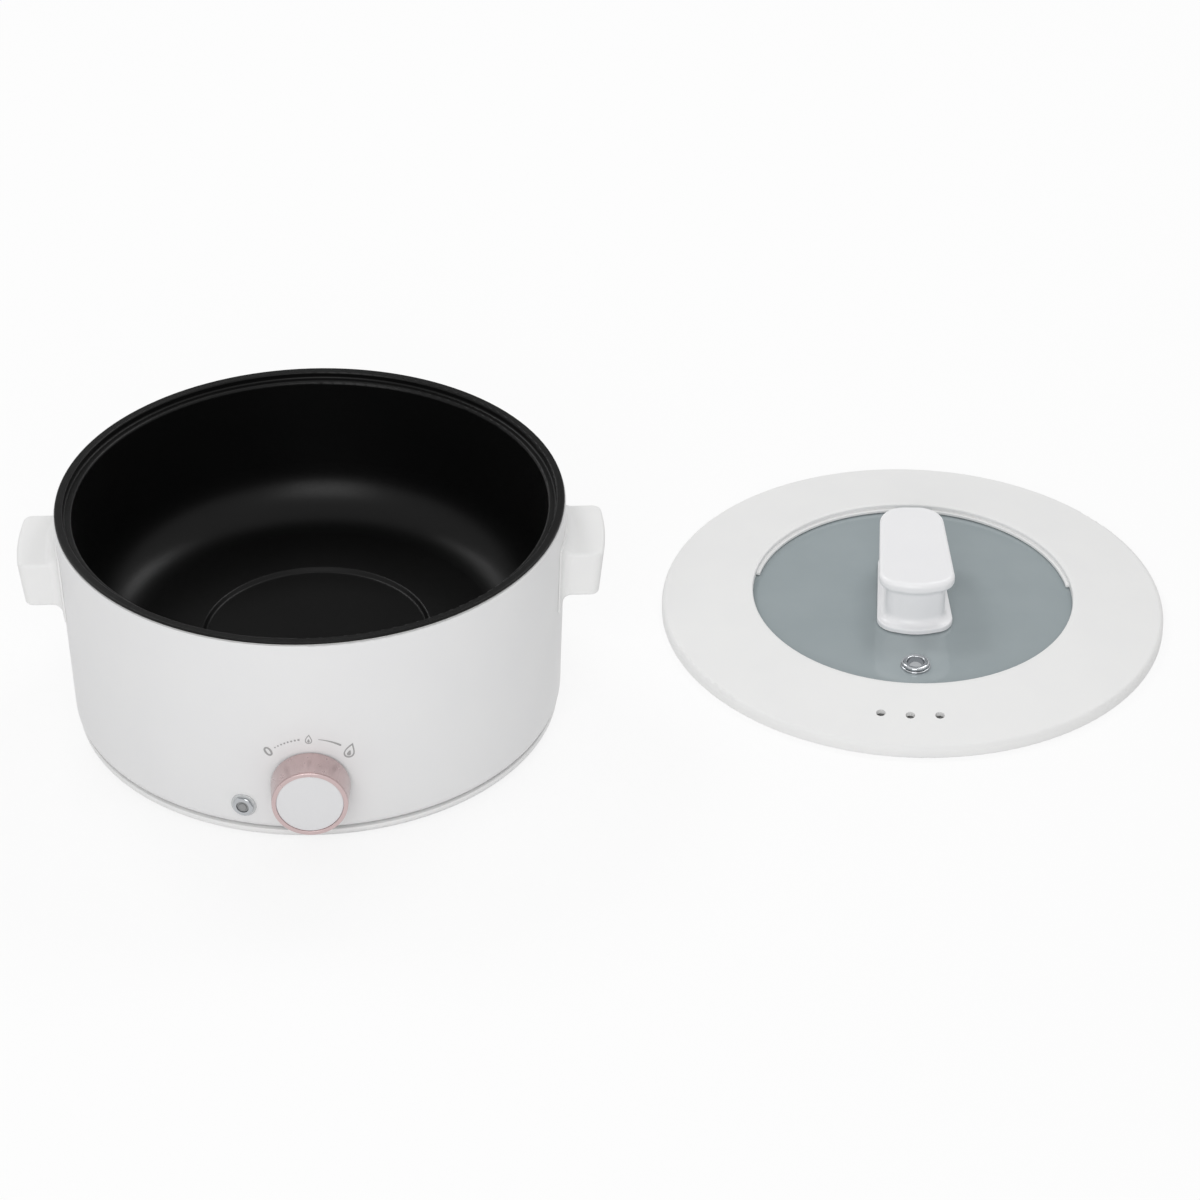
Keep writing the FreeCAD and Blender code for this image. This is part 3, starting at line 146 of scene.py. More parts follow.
@dataclass(frozen=True)
class Finish:
    """A surface finish: a colour, its gloss, and a fine relief of a real size."""

    name: str
    colour: str
    shade: str
    roughness: float
    roughness_spread: float = 0.05
    metallic: float = 0.0
    specular: float = 0.5
    grain: Grain = Grain.SOFT
    grain_mm: float = 0.6
    depth_mm: float = 0.01
    stretch: tuple[float, float, float] = (1.0, 1.0, 1.0)
    mottle_mm: float = 30.0
    alpha: float = 1.0
    ior: float = 1.5
    coat: float = 0.0

    def material(self) -> bpy.types.Material:
        """Build the node material the first time that it is asked for.

        Returns:
            The material of this finish.
        """
        known = bpy.data.materials.get(self.name)
        if known:
            return known
        material = bpy.data.materials.new(self.name)
        tree = bare_tree(material)
        place = add_node(tree, "ShaderNodeTexCoord").outputs["Object"]
        turned = add_node(tree, "ShaderNodeMapping", values={"Scale": self.stretch},
                          links={"Vector": place}).outputs["Vector"]
        relief = add_node(tree, self.grain.value, values={"Scale": 1 / (self.grain_mm * MM)},
                          links={"Vector": turned}).outputs[0]
        mottle = add_node(tree, "ShaderNodeTexNoise", values={"Scale": 1 / (self.mottle_mm * MM)},
                          links={"Vector": place}).outputs[0]
        colour = add_node(tree, "ShaderNodeMix", {"data_type": "RGBA"},
                          {MIX_FIRST: linear(self.colour), MIX_SECOND: linear(self.shade)},
                          {0: mottle})
        gloss = add_node(tree, "ShaderNodeMapRange",
                         values={"To Min": self.roughness - self.roughness_spread,
                                 "To Max": self.roughness + self.roughness_spread},
                         links={"Value": relief})
        bump = add_node(tree, "ShaderNodeBump", values={"Distance": self.depth_mm * MM},
                        links={"Height": relief})
        shader = add_node(
            tree, "ShaderNodeBsdfPrincipled",
            values={"Metallic": self.metallic, "Specular IOR Level": self.specular,
                    "Alpha": self.alpha, "IOR": self.ior, "Coat Weight": self.coat},
            links={"Base Color": colour.outputs[MIX_RESULT], "Roughness": gloss.outputs[0],
                   "Normal": bump.outputs[0]})
        add_node(tree, "ShaderNodeOutputMaterial", links={"Surface": shader.outputs[0]})
        return material


# Moulded polypropylene: an even satin white whose faint waviness softens each highlight.
SHELL_WHITE = Finish("moulded_white_shell", "E3E3E3", "E0E0E1", 0.42, grain_mm=2.4, depth_mm=0.006)
# Moulded polypropylene from a spark-eroded mould: matt, with a fine dry grain.
# The grain is drawn at 0.8 mm, coarser than the real one, so that it shows.
TEXTURED_WHITE = Finish("textured_white_plastic", "E9E9E8", "E5E5E5", 0.55, grain_mm=0.8,
                        depth_mm=0.012)
# Smooth moulded ABS: cleaner and a little glossier than the ring round it.
SMOOTH_WHITE = Finish("smooth_white_plastic", "F0F0F1", "EDEDEF", 0.32, grain_mm=5.0,
                      depth_mm=0.004)
# Moulded ABS cap with a satin face: its white is greyed with painted shade, since it faces the front
# lamp, and so reads a shade greyer than the grip on the lid.
CAP_WHITE_PAINTED_SHADE = Finish("satin_white_cap_painted_shade", "DBDBDC", "D8D8DA", 0.38, grain_mm=4.0, depth_mm=0.004)
# Sprayed non-stick coating on cast aluminium: deep black, satin, with fine grit in it.
NON_STICK = Finish("black_non_stick", "090909", "0D0D0D", 0.34, 0.08, specular=0.16,
                   grain=Grain.CELLS, grain_mm=0.7, depth_mm=0.01)
# Rose metallic lacquer: soft pink metal with a bright line wherever an edge turns.
ROSE_LACQUER = Finish("rose_metal_lacquer", "CEB9B8", "C3ADAD", 0.28, 0.02, metallic=0.7,
                      grain_mm=4.0, depth_mm=0.002, coat=0.3)
# Chromed brass: a mirror with hardly any relief.
CHROME = Finish("polished_chrome", "BCBEC1", "B6B9BC", 0.07, 0.02, metallic=1.0, grain_mm=6.0,
                depth_mm=0.001)
# Toughened float glass with a faint grey tint plus painted shade for the shadowed floor under the lid
# seen through it: smooth and cool, and so dark and nearly opaque that little shows through.
GLASS_TINT_AND_PAINTED_SHADE = Finish("glass_tint_and_painted_shade", "A8B1B4", "9FA9AC", 0.1, 0.02, grain_mm=40.0,
                      depth_mm=0.002, alpha=0.9, ior=1.52)
# Clear polycarbonate: bright edges and a pale see-through body.
CLEAR_PLASTIC = Finish("clear_polycarbonate", "E6E8E9", "E2E5E6", 0.08, 0.02, grain_mm=6.0,
                       depth_mm=0.002, alpha=0.5, ior=1.58)
# Smoked polycarbonate: a small grey lens that looks unlit.
GREY_LENS = Finish("grey_lens", "8E8F90", "86878A", 0.18, grain_mm=2.0, depth_mm=0.003)
# Translucent silicone: milky, soft and a little waxy.
SILICONE = Finish("milky_silicone", "D6D6D4", "D0D0CE", 0.5, grain_mm=1.5, depth_mm=0.005)
# Pale rubber: dry and matt.
RUBBER = Finish("pale_rubber", "C9C9C7", "C1C1BF", 0.75, grain_mm=1.0, depth_mm=0.015)
# Rolled steel: fine lines along its length.
STEEL = Finish("rolled_steel", "B9BABC", "AEAFB2", 0.32, metallic=1.0, grain_mm=0.5,
               depth_mm=0.004, stretch=(1.0, 1.0, 0.08))
# Aluminium as cast: dull silver with a pebbled skin.
CAST_ALUMINIUM = Finish("cast_aluminium", "A9ABAD", "9C9EA1", 0.5, metallic=1.0,
                        grain=Grain.CELLS, grain_mm=1.6, depth_mm=0.03)
# Fired steatite: chalky and warm white.
CERAMIC = Finish("fired_steatite", "E9E4D8", "DFD9CB", 0.7, grain_mm=0.9, depth_mm=0.01)
# Drawn copper: warm metal with marks along the draw.
COPPER = Finish("drawn_copper", "B87350", "A9663F", 0.3, metallic=1.0, grain_mm=0.5,
                depth_mm=0.004, stretch=(1.0, 0.08, 1.0))
# Stamped brass: yellow metal, lightly brushed.
BRASS = Finish("stamped_brass", "C9A85A", "BD9B4D", 0.28, metallic=1.0, grain_mm=0.5,
               depth_mm=0.004, stretch=(1.0, 0.1, 1.0))
# Phenolic moulding: near black, with a dry grain.
DARK_PHENOLIC = Finish("black_phenolic", "1E1E1F", "232324", 0.55, grain_mm=0.8, depth_mm=0.012)
# Silicone insulation in its three wiring colours: matt, with a faint grain.
LEAD_RED = Finish("red_insulation", "9E2A25", "92241F", 0.6, grain_mm=0.6)
LEAD_BLUE = Finish("blue_insulation", "2D5C9A", "27538E", 0.6, grain_mm=0.6)
LEAD_GREEN = Finish("green_insulation", "6F9A2E", "668F28", 0.6, grain_mm=0.6)
# Pad-printed ink: flat mid grey, thin enough to take the plastic's grain.
PRINT_INK = Finish("grey_print_ink", "9C9C9C", "A2A2A2", 0.6, grain_mm=0.5, depth_mm=0.004)


def deselect() -> None:
    """Leave edit mode and deselect everything."""
    if bpy.context.object and bpy.context.object.mode != "OBJECT":
        bpy.ops.object.mode_set(mode="OBJECT")
    bpy.ops.object.select_all(action="DESELECT")


def dress(frame: dict[str, Any], finish: Finish, *names: str) -> None:
    """Give CAD nodes a finish through their material slots.

    Args:
        frame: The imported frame.
        finish: The finish that they get.
        names: The nodes' names.
    """
    for name in names:
        node = frame["nodes"][name]
        if not node.material_slots:
            node.data.materials.append(finish.material())
        for slot in node.material_slots:
            slot.material = finish.material()


def finish_piece(piece: bpy.types.Object, finish: Finish, body: str) -> bpy.types.Object:
    """Smooth a new piece, give it its finish, set it on its body and report it.

    Args:
        piece: The new object, with its place in its mesh.
        finish: Its finish.
        body: The name of the body that it moves with.

    Returns:
        The same object.
    """
    deselect()
    piece.select_set(True)
    bpy.context.view_layer.objects.active = piece
    bpy.ops.object.shade_smooth_by_angle(angle=SMOOTH_ANGLE)
    piece.data.materials.clear()
    piece.data.materials.append(finish.material())
    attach(piece, body)
    LOG.info("made %s on %s with %d faces", piece.name, body, len(piece.data.polygons))
    return piece


def rounded(corners: Sequence[Corner]) -> list[Point]:
    """Round the corners of a closed outline.

    Args:
        corners: Points as (radius, height, rounding).

    Returns:
        The outline's points, each rounding as a short arc.
    """
    points: list[Point] = []
    count = len(corners)
    for index, (u, v, radius) in enumerate(corners):
        corner = Vector((u, v))
        if radius <= 0:
            points.append((u, v))
            continue
        before = (Vector(corners[index - 1][:2]) - corner).normalized()
        after = (Vector(corners[(index + 1) % count][:2]) - corner).normalized()
        half = before.angle(after) / 2
        centre = corner + (before + after).normalized() * (radius / math.sin(half))
        reach = radius / math.tan(half)
        start = (corner + before * reach - centre).normalized()
        end = (corner + after * reach - centre).normalized()
        for step in range(ARC_STEPS + 1):
            spoke = start.slerp(end, step / ARC_STEPS) * radius
            points.append((centre.x + spoke.x, centre.y + spoke.y))
    return points


def turned(name: str, corners: Sequence[Corner], place: Matrix) -> bpy.types.Object:
    """Turn a closed outline about Z, ring by ring, and put it in place.

    Args:
        name: The piece's name.
        corners: The outline as (radius, height, rounding), clear of the axis.
        place: Where the piece goes.

    Returns:
        The new object, with its place in its mesh.
    """
    rings = rounded(corners)
    deselect()
    radius, height = rings[0]
    bpy.ops.mesh.primitive_circle_add(vertices=RING_STEPS, radius=radius, location=(0, 0, height))
    piece = bpy.context.object
    piece.name = name
    bpy.ops.object.transform_apply(location=True, rotation=True, scale=True)
    bpy.ops.object.mode_set(mode="EDIT")
    bpy.ops.mesh.select_all(action="SELECT")
    for next_radius, next_height in rings[1:] + rings[:1]:
        rise = (0, 0, next_height - height)
        bpy.ops.mesh.extrude_region_move(TRANSFORM_OT_translate={"value": rise})
        share = next_radius / radius
        bpy.ops.transform.resize(value=(share, share, 1), center_override=(0, 0, 0))
        radius, height = next_radius, next_height
    bpy.ops.mesh.select_all(action="SELECT")
    bpy.ops.mesh.remove_doubles(threshold=MERGE_GAP)
    bpy.ops.mesh.normals_make_consistent(inside=False)
    bpy.ops.object.mode_set(mode="OBJECT")
    piece.data.transform(place)
    return piece


@dataclass(frozen=True)
class Lamp:
    """A square soft lamp: its place and size in metres and its power in watts."""

    name: str
    place: Place
    size: float
    power: float


@dataclass
class Studio:
    """The camera at the photograph's angle, a white floor, a dark card and soft lamps.

    Places and sizes are in metres, angles in degrees, and the lens and sensor in millimetres.
    """

    azimuth: float = -2.0
    elevation: float = 34.0
    distance: float = 2.2386
    lens: float = 120.0
    sensor_width: float = 36.0
    aim: Place = (0.1591, 0.0, 0.0617)
    floor_size: float = 12.0
    floor_colour: str = "F4F4F4"
    floor_glow: float = 0.82
    world_level: float = 0.57
    card_place: Place = (0.3, 2.2, 1.5)
    card_width: float = 2.6
    card_height: float = 0.9
    card_colour: str = "2A2A2A"
    lamps: tuple[Lamp, ...] = (
        Lamp("front_lamp", (-0.2, -2.0, 1.3), size=1.4, power=20.0),
        Lamp("back_left_lamp", (-0.7, 1.1, 1.6), size=0.6, power=7.0),
        Lamp("back_right_lamp", (0.9, 1.1, 1.6), size=0.6, power=7.0))

    def add_camera(self) -> None:
        """Stand the camera off its aim point."""
        turn, rise = math.radians(self.azimuth), math.radians(self.elevation)
        back = Vector((math.sin(turn) * math.cos(rise), -math.cos(turn) * math.cos(rise),
                       math.sin(rise)))
        data = bpy.data.cameras.new("camera")
        data.lens = self.lens
        data.sensor_width = self.sensor_width
        camera = bpy.data.objects.new("camera", data)
        bpy.context.scene.collection.objects.link(camera)
        camera.location = Vector(self.aim) + back * self.distance
        camera.rotation_euler = (-back).to_track_quat("-Z", "Y").to_euler()
        bpy.context.scene.camera = camera

    def seen_directly(self, tree: bpy.types.NodeTree) -> bpy.types.NodeSocket:
        """Tell the rays that the eye follows from those that only carry light.

        Args:
            tree: The node tree that needs it.

        Returns:
            A socket that is 1 for camera, glossy and transmission rays.
        """
        path = add_node(tree, "ShaderNodeLightPath")
        first = add_node(tree, "ShaderNodeMath", {"operation": "MAXIMUM"},
                         links={0: path.outputs["Is Camera Ray"],
                                1: path.outputs["Is Glossy Ray"]})
        both = add_node(tree, "ShaderNodeMath", {"operation": "MAXIMUM"},
                        links={0: first.outputs[0], 1: path.outputs["Is Transmission Ray"]})
        return both.outputs[0]

    def add_world(self) -> None:
        """White to the eye and in reflections, and a plain fill light otherwise."""
        world = bpy.data.worlds.new("studio")
        bpy.context.scene.world = world
        tree = bare_tree(world)
        fill = add_node(tree, "ShaderNodeBackground",
                        values={"Color": (1, 1, 1, 1), "Strength": self.world_level})
        shown = add_node(tree, "ShaderNodeBackground",
                         values={"Color": (1, 1, 1, 1), "Strength": 1.0})
        mix = add_node(tree, "ShaderNodeMixShader",
                       links={0: self.seen_directly(tree), 1: fill.outputs[0],
                              2: shown.outputs[0]})
        add_node(tree, "ShaderNodeOutputWorld", links={"Surface": mix.outputs[0]})

    def add_floor(self) -> None:
        """A white floor that still darkens a little under the object."""
        deselect()
        bpy.ops.mesh.primitive_plane_add(size=self.floor_size)
        floor = bpy.context.object
        floor.name = "floor"
        material = bpy.data.materials.new("studio_floor")
        tree = bare_tree(material)
        plain = add_node(tree, "ShaderNodeBsdfDiffuse",
                         values={"Color": linear(self.floor_colour)})
        glow = add_node(tree, "ShaderNodeEmission",
                        values={"Color": (1, 1, 1, 1), "Strength": 1.0})
        blend = add_node(tree, "ShaderNodeMixShader", values={0: self.floor_glow},
                         links={1: plain.outputs[0], 2: glow.outputs[0]})
        mix = add_node(tree, "ShaderNodeMixShader",
                       links={0: self.seen_directly(tree), 1: plain.outputs[0],
                              2: blend.outputs[0]})
        add_node(tree, "ShaderNodeOutputMaterial", links={"Surface": mix.outputs[0]})
        floor.data.materials.append(material)

    def add_dark_card(self) -> None:
        """A dark card behind, seen only in gloss, so that metal and glass have contrast."""
        deselect()
        bpy.ops.mesh.primitive_plane_add(size=1.0)
        card = bpy.context.object
        card.name = "dark_card"
        bpy.ops.transform.resize(value=(self.card_width, self.card_height, 1))
        way = Vector(self.aim) - Vector(self.card_place)
        card.location = self.card_place
        card.rotation_euler = way.to_track_quat("Z", "Y").to_euler()
        card.visible_camera = False
        card.visible_diffuse = False
        card.visible_shadow = False
        card.visible_transmission = False
        material = bpy.data.materials.new("dark_card")
        tree = bare_tree(material)
        dark = add_node(tree, "ShaderNodeEmission", values={"Color": linear(self.card_colour)})
        add_node(tree, "ShaderNodeOutputMaterial", links={"Surface": dark.outputs[0]})
        card.data.materials.append(material)

    def add_lamp(self, lamp: Lamp) -> None:
        """Hang a lamp so that it faces the object.

        Args:
            lamp: The lamp's name, place, size and power.
        """
        data = bpy.data.lights.new(lamp.name, "AREA")
        data.size = lamp.size
        data.energy = lamp.power
        hung = bpy.data.objects.new(lamp.name, data)
        bpy.context.scene.collection.objects.link(hung)
        hung.location = lamp.place
        way = Vector(self.aim) - Vector(lamp.place)
        hung.rotation_euler = way.to_track_quat("-Z", "Y").to_euler()

    def build(self) -> None:
        """Set up the whole studio."""
        bpy.context.scene.view_settings.view_transform = "Standard"
        self.add_camera()
        self.add_world()
        self.add_floor()
        self.add_dark_card()
        for lamp in self.lamps:
            self.add_lamp(lamp)


@dataclass
class PotBody:
    """The shell, pan, base, side handles, feet and power inlet."""

    frame: dict[str, Any]

    def dress(self) -> None:
        """Give every fixed outer piece its finish."""
        dress(self.frame, SHELL_WHITE, "outer_shell")
        dress(self.frame, NON_STICK, "cooking_pan")
        dress(self.frame, SILICONE, "pan_seal")
        dress(self.frame, TEXTURED_WHITE, "base_cover", "left_handle", "right_handle")
        dress(self.frame, RUBBER, *["rubber_foot_%d" % n for n in range(1, 5)])
        dress(self.frame, STEEL, "base_screws", "handle_screws", "inlet_screws")
        dress(self.frame, DARK_PHENOLIC, "inlet_housing")
        dress(self.frame, BRASS, "inlet_pins")
        LOG.info("dressed the pot's body")


@dataclass
class InnerWorks:
    """The heater, sensor, thermostat and wiring inside the shell."""

    frame: dict[str, Any]

    def dress(self) -> None:
        """Give every inner piece its finish."""
        dress(self.frame, STEEL, "heater_tube", "heat_shield", "sensor_strap", "fuse_strap",
              "bushing_nut")
        dress(self.frame, CAST_ALUMINIUM, "heating_plate")
        dress(self.frame, CERAMIC, "heater_beads", "thermal_fuse")
        dress(self.frame, COPPER, "sensor_bulb", "capillary_tube")
        dress(self.frame, BRASS, "terminal_blades")
        dress(self.frame, DARK_PHENOLIC, "thermostat_body")
        dress(self.frame, LEAD_RED, "live_lead", "load_lead")
        dress(self.frame, LEAD_BLUE, "neutral_lead")
        dress(self.frame, LEAD_GREEN, "earth_lead")
        LOG.info("dressed the inner works")


@dataclass
class ControlKnob:
    """The rose ring round a white cap, with a fine step behind its front edge."""

    frame: dict[str, Any]
    wall: float = 2.0 * MM
    taper: float = 1.1 * MM
    rim_width: float = 2.3 * MM
    rim_depth: float = 2.8 * MM
    step_back: float = 1.1 * MM
    step_depth: float = 0.18 * MM
    step_width: float = 0.35 * MM
    edge: float = 0.45 * MM

    def build(self) -> None:
        """Make the ring and dress the pieces inside it."""
        low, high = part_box("knob_ring")
        back_radius = (high.x - low.x) / 2
        front_radius = back_radius - self.taper
        length = high.y - low.y
        bore = front_radius - self.rim_width
        step = length - self.step_back
        inside = front_radius - self.wall
        corners = [
            (back_radius - self.wall, 0.0, 0.0),
            (back_radius, 0.0, self.edge),
            (front_radius + self.taper * self.step_back / length, step, 0.0),
            (front_radius - self.step_depth, step, 0.0),
            (front_radius - self.step_depth, step + self.step_width, 0.0),
            (front_radius, step + self.step_width, 0.0),
            (front_radius, length, self.edge),
            (bore, length, self.edge / 2),
            (bore, length - self.rim_depth, 0.0),
            (inside, length - self.rim_depth, 0.0)]
        middle = Vector(((low.x + high.x) / 2, high.y, (low.z + high.z) / 2))
        place = Matrix.Translation(middle) @ Matrix.Rotation(math.radians(90), 4, "X")
        ring = finish_piece(turned("rose_knob_ring", corners, place), ROSE_LACQUER,
                            "control_knob")
        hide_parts("knob_ring")
        dress(self.frame, ROSE_LACQUER, "knob_ring")
        # The cap's greyer white is painted shade.
        dress(self.frame, CAP_WHITE_PAINTED_SHADE, "knob_cap")
        dress(self.frame, DARK_PHENOLIC, "knob_hub")
        dress(self.frame, STEEL, "thermostat_spindle", "hub_clip")


@dataclass
class Indicator:
    """The clear collar, chrome ring and grey lens to the left of the knob."""

    frame: dict[str, Any]

    def dress(self) -> None:
        """Give the indicator's pieces their finishes."""
        dress(self.frame, CLEAR_PLASTIC, "indicator_collar", "indicator_lamp")
        dress(self.frame, CHROME, "indicator_bezel")
        dress(self.frame, GREY_LENS, "indicator_lens")
        LOG.info("dressed the indicator")


@dataclass
class DialMarks:
    """The printed marks over the knob: a plain 0, dots, two flames and a growing bar.

    Angles and tilts are in degrees. A flame's belly, lean and drops are shares of its own size,
    and the dots' and the bar's start and span are shares of the angle to their outer mark.
    """

    frame: dict[str, Any]
    circle: float = 30.0 * MM
    off_angle: float = -46.0
    high_angle: float = 46.0
    zero_height: float = 8.5 * MM
    zero_weight: float = 0.12 * MM
    zero_tilt: float = -30.0
    high_tilt: float = 14.0
    zero_smoothness: int = 8
    small_flame: Point = (4.2 * MM, 6.3 * MM)
    large_flame: Point = (6.5 * MM, 10.0 * MM)
    flame_steps: int = 48
    flame_belly: float = 0.62
    flame_taper: float = 1.3
    flame_lean: float = 0.1
    flame_line: float = 0.74
    flame_line_drop: float = 0.12
    flame_core: float = 0.36
    flame_core_drop: float = 0.17
    dot_count: int = 8
    dot_steps: int = 20
    dot_small: float = 0.42 * MM
    dot_large: float = 0.6 * MM
    dots_start: float = 0.8
    dots_span: float = 0.58
    bar_steps: int = 36
    bar_thin: float = 0.3 * MM
    bar_thick: float = 1.2 * MM
    bar_start: float = 0.22
    bar_span: float = 0.54
    bar_round_share: float = 0.05
    shell_foot_radius: float = 136.4 * MM
    shell_foot_height: float = 7.5 * MM
    proud: float = 0.03 * MM
    ink: float = 0.08 * MM

    def on_circle(self, degrees: float) -> Point:
        """Return the place on the dial's circle at an angle from straight up."""
        angle = math.radians(degrees)
        return self.circle * math.sin(angle), self.circle * math.cos(angle)

    def reshape(self, piece: bpy.types.Object, rule: Callable[[Vector], Point]) -> None:
        """Move each point of a flat piece by a rule.

        Args:
            piece: The flat piece.
            rule: Gives a point's new place from its old one.
        """
        for vertex in piece.data.vertices:
            u, v = rule(vertex.co)
            vertex.co = (u, v, 0.0)

    def put(self, piece: bpy.types.Object, place: Point, tilt: float) -> bpy.types.Object:
        """Tilt a flat piece and put it at a place on the dial.

        Args:
            piece: The flat piece, round its own middle.
            place: Where its middle goes.
            tilt: Degrees that it leans clockwise.

        Returns:
            The same piece.
        """
        shift = Matrix.Translation((place[0], place[1], 0))
        piece.data.transform(shift @ Matrix.Rotation(math.radians(-tilt), 4, "Z"))
        return piece

    def drop(self, size: Point, filled: bool) -> bpy.types.Object:
        """Make one drop with its tip up.

        Args:
            size: Its width and height.
            filled: Whether it is a filled shape, and not an outline.

        Returns:
            The flat drop.
        """
        deselect()
        fill = "NGON" if filled else "NOTHING"
        bpy.ops.mesh.primitive_circle_add(vertices=self.flame_steps, radius=1.0, fill_type=fill)
        piece = bpy.context.object
        width, height = size

        def to_drop(point: Vector) -> Point:
            """Draw a circle's upper half in to a leaning tip.

            Args:
                point: A point of the unit circle.

            Returns:
                The drop's point.
            """
            angle = math.atan2(point.x, point.y)
            narrow = abs(math.sin(angle / 2)) ** self.flame_taper
            lean = self.flame_lean * width * max(0.0, point.y) ** 2
            return width * self.flame_belly * math.sin(angle) * narrow + lean, height * point.y / 2

        self.reshape(piece, to_drop)
        if not filled:
            bpy.ops.object.mode_set(mode="EDIT")
            bpy.ops.mesh.select_all(action="SELECT")
            bpy.ops.mesh.extrude_region_move(TRANSFORM_OT_translate={"value": (0, 0, 0)})
            centre = (0, -height * self.flame_line_drop, 0)
            bpy.ops.transform.resize(value=(self.flame_line, self.flame_line, 1),
                                     center_override=centre)
            bpy.ops.object.mode_set(mode="OBJECT")
        return piece

    def flame(self, size: Point, angle: float, tilt: float) -> list[bpy.types.Object]:
        """Make an outlined flame with a small drop in its foot.

        Args:
            size: The flame's width and height.
            angle: Its place on the dial, in degrees from straight up.
            tilt: Degrees that it leans clockwise.

        Returns:
            The outline and the small drop.
        """
        place = self.on_circle(angle)
        outline = self.put(self.drop(size, False), place, tilt)
        core = self.drop((size[0] * self.flame_core, size[1] * self.flame_core), True)
        core.data.transform(Matrix.Translation((0, -size[1] * self.flame_core_drop, 0)))
        return [outline, self.put(core, place, tilt)]

    def zero(self) -> bpy.types.Object:
        """Make the plain 0 at the off place.

        Returns:
            The flat figure.
        """
        deselect()
        bpy.ops.object.text_add()
        text = bpy.context.object
        text.data.body = "0"
        text.data.size = self.zero_height
        text.data.offset = self.zero_weight
        text.data.align_x = "CENTER"
        text.data.align_y = "CENTER"
        text.data.resolution_u = self.zero_smoothness
        bpy.ops.object.convert(target="MESH")
        return self.put(bpy.context.object, self.on_circle(self.off_angle), self.zero_tilt)

    def dots(self) -> list[bpy.types.Object]:
        """Make the row of dots between the 0 and the small flame.

        Returns:
            The flat dots, from the smallest to the largest.
        """
        made = []
        for index in range(self.dot_count):
            share = index / (self.dot_count - 1)
            angle = self.off_angle * (self.dots_start - self.dots_span * share)
            deselect()
            radius = self.dot_small + share * (self.dot_large - self.dot_small)
            bpy.ops.mesh.primitive_circle_add(vertices=self.dot_steps, radius=radius,
                                              fill_type="NGON")
            made.append(self.put(bpy.context.object, self.on_circle(angle), 0.0))
        return made

    def bar(self) -> bpy.types.Object:
        """Make the bar that grows from the small flame to the large one.

        Returns:
            The flat bar.
        """
        deselect()
        bpy.ops.mesh.primitive_grid_add(x_subdivisions=self.bar_steps, y_subdivisions=1, size=2.0)
        piece = bpy.context.object

        def along(point: Vector) -> Point:
            """Bend a straight strip round the dial and let it grow.

            Args:
                point: A point of a strip two units long and wide.

            Returns:
                The bar's point.
            """
            share = (point.x + 1) / 2
            half = (self.bar_thin + share * (self.bar_thick - self.bar_thin)) / 2
            past = max(0.0, (share - (1 - self.bar_round_share)) / self.bar_round_share)
            round_end = math.sqrt(max(0.0, 1 - past ** 2))
            angle = math.radians(self.high_angle * (self.bar_start + self.bar_span * share))
            radius = self.circle + half * round_end * point.y
            return radius * math.sin(angle), radius * math.cos(angle)

        self.reshape(piece, along)
        return piece

    def wrap(self, piece: bpy.types.Object, centre_height: float) -> None:
        """Lay the flat marks on the shell's tapered wall.

        Args:
            piece: The joined flat marks.
            centre_height: How high the dial's middle is over the table.
        """
        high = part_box("outer_shell")[1]
        rise = (high.x - self.shell_foot_radius) / (high.z - self.shell_foot_height)
        for vertex in piece.data.vertices:
            x, up = vertex.co.x, vertex.co.y
            height = centre_height + up
            radius = self.shell_foot_radius + rise * (height - self.shell_foot_height)
            radius += self.proud
            vertex.co = (x, -math.sqrt(radius ** 2 - x ** 2), height)

    def build(self) -> None:
        """Make every mark, join them, lay them on the shell and give them the ink's body."""
        marks = [self.zero(), self.bar(), *self.dots()]
        marks += self.flame(self.small_flame, 0.0, 0.0)
        marks += self.flame(self.large_flame, self.high_angle, self.high_tilt)
        deselect()
        for mark in marks:
            mark.select_set(True)
        bpy.context.view_layer.objects.active = marks[0]
        bpy.ops.object.join()
        piece = bpy.context.object
        piece.name = "dial_marks"
        low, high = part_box("knob_ring")
        self.wrap(piece, (low.z + high.z) / 2)
        body = piece.modifiers.new("ink", "SOLIDIFY")
        body.thickness = self.ink
        body.offset = 1.0
        bpy.ops.object.modifier_apply(modifier=body.name)
        finish_piece(piece, PRINT_INK, "pot")


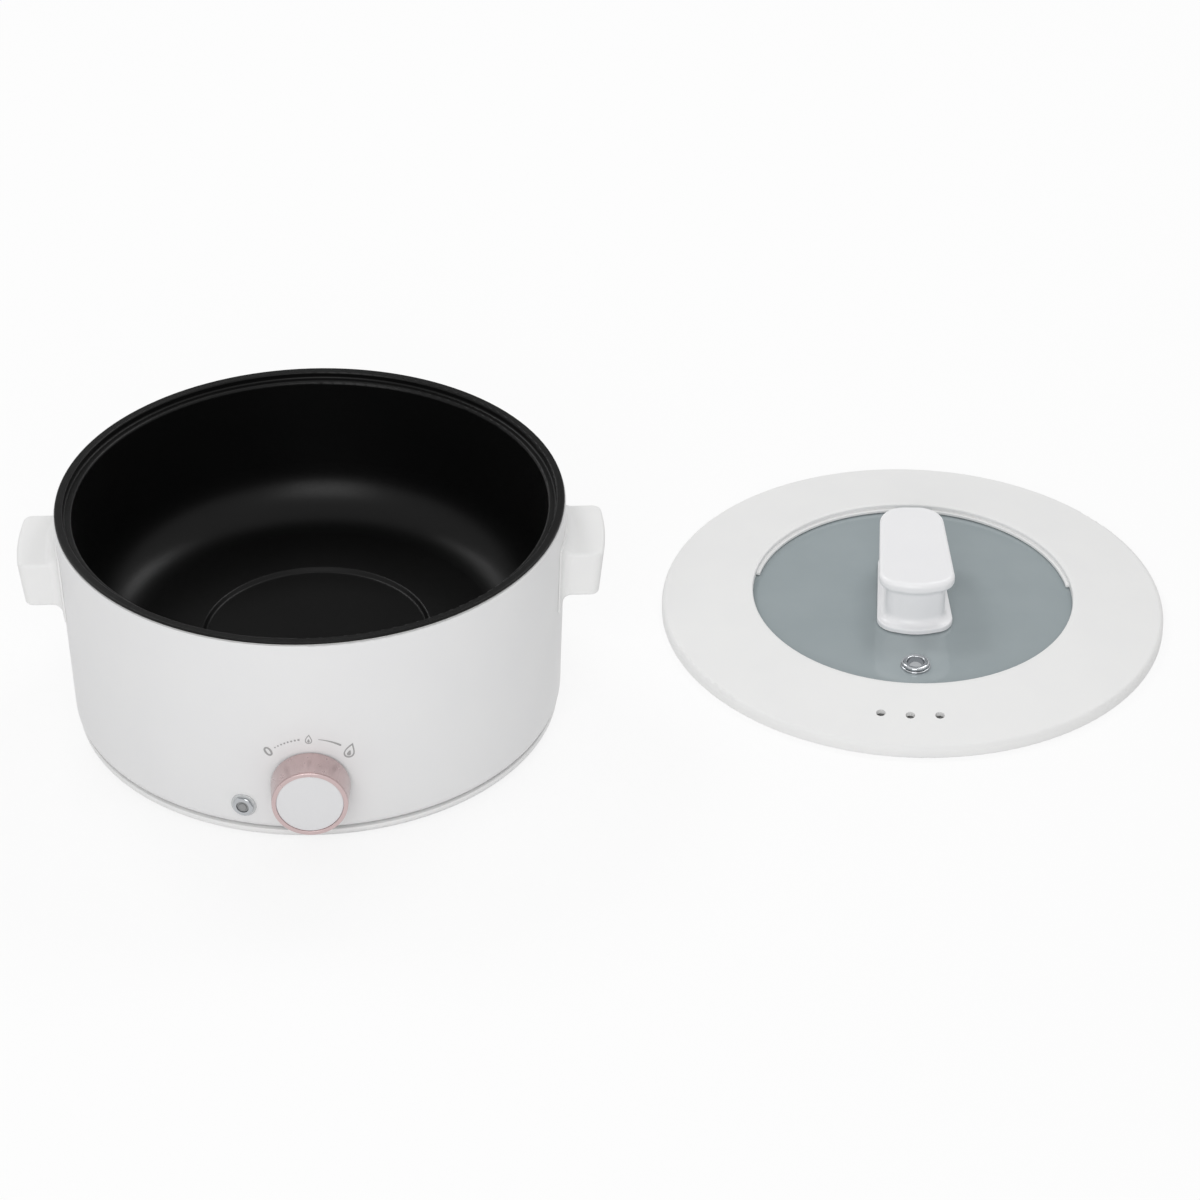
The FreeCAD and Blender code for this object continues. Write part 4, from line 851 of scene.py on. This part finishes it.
@dataclass
class Lid:
    """The white ring, glass, polished vent eyelet and tapered handle."""

    frame: dict[str, Any]
    bore: float = 5.0 * MM
    barrel: float = 6.0 * MM
    rise: float = 3.2 * MM
    lower_rim: float = 1.25 * MM
    waist: float = 0.9 * MM
    upper_inset: float = 0.7 * MM
    edge: float = 0.55 * MM

    def eyelet(self) -> None:
        """Turn the eyelet with its two rolled rims."""
        low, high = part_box("vent_eyelet")
        flange = (high.x - low.x) / 2
        seat = high.z - self.rise
        upper = flange - self.upper_inset
        corners = [
            (self.bore, low.z, 0.0),
            (self.barrel, low.z, 0.0),
            (self.barrel, seat, 0.0),
            (flange, seat, self.edge / 2),
            (flange, seat + self.lower_rim, self.edge),
            (upper - self.waist, seat + self.lower_rim, 0.0),
            (upper, seat + self.lower_rim + self.edge / 2, self.edge / 2),
            (upper, high.z, self.edge * 2),
            (self.bore, high.z, self.edge)]
        middle = Matrix.Translation(((low.x + high.x) / 2, (low.y + high.y) / 2, 0))
        eyelet = finish_piece(turned("polished_vent_eyelet", corners, middle), CHROME, "lid")
        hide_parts("vent_eyelet")

    def build(self) -> None:
        """Make the eyelet and dress the lid's other pieces."""
        self.eyelet()
        dress(self.frame, CHROME, "vent_eyelet")
        dress(self.frame, TEXTURED_WHITE, "lid_ring", "lid_retainer")
        # The glass's grey is partly painted shade, standing in for the shadowed floor beneath the lid.
        dress(self.frame, GLASS_TINT_AND_PAINTED_SHADE, "lid_glass")
        dress(self.frame, SMOOTH_WHITE, "lid_handle")
        dress(self.frame, SILICONE, "lid_gasket", "lid_handle_pad")
        dress(self.frame, STEEL, "lid_retainer_screws", "vent_nut", "lid_handle_washers",
              "lid_handle_screws")
        dress(self.frame, BRASS, "lid_handle_inserts")


def main() -> None:
    """Load the frame, build the studio and every sub-assembly."""
    logging.basicConfig(level=logging.INFO)
    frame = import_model()
    Studio().build()
    PotBody(frame).dress()
    InnerWorks(frame).dress()
    Indicator(frame).dress()
    ControlKnob(frame).build()
    DialMarks(frame).build()
    Lid(frame).build()


if __name__ == "__main__":
    main()
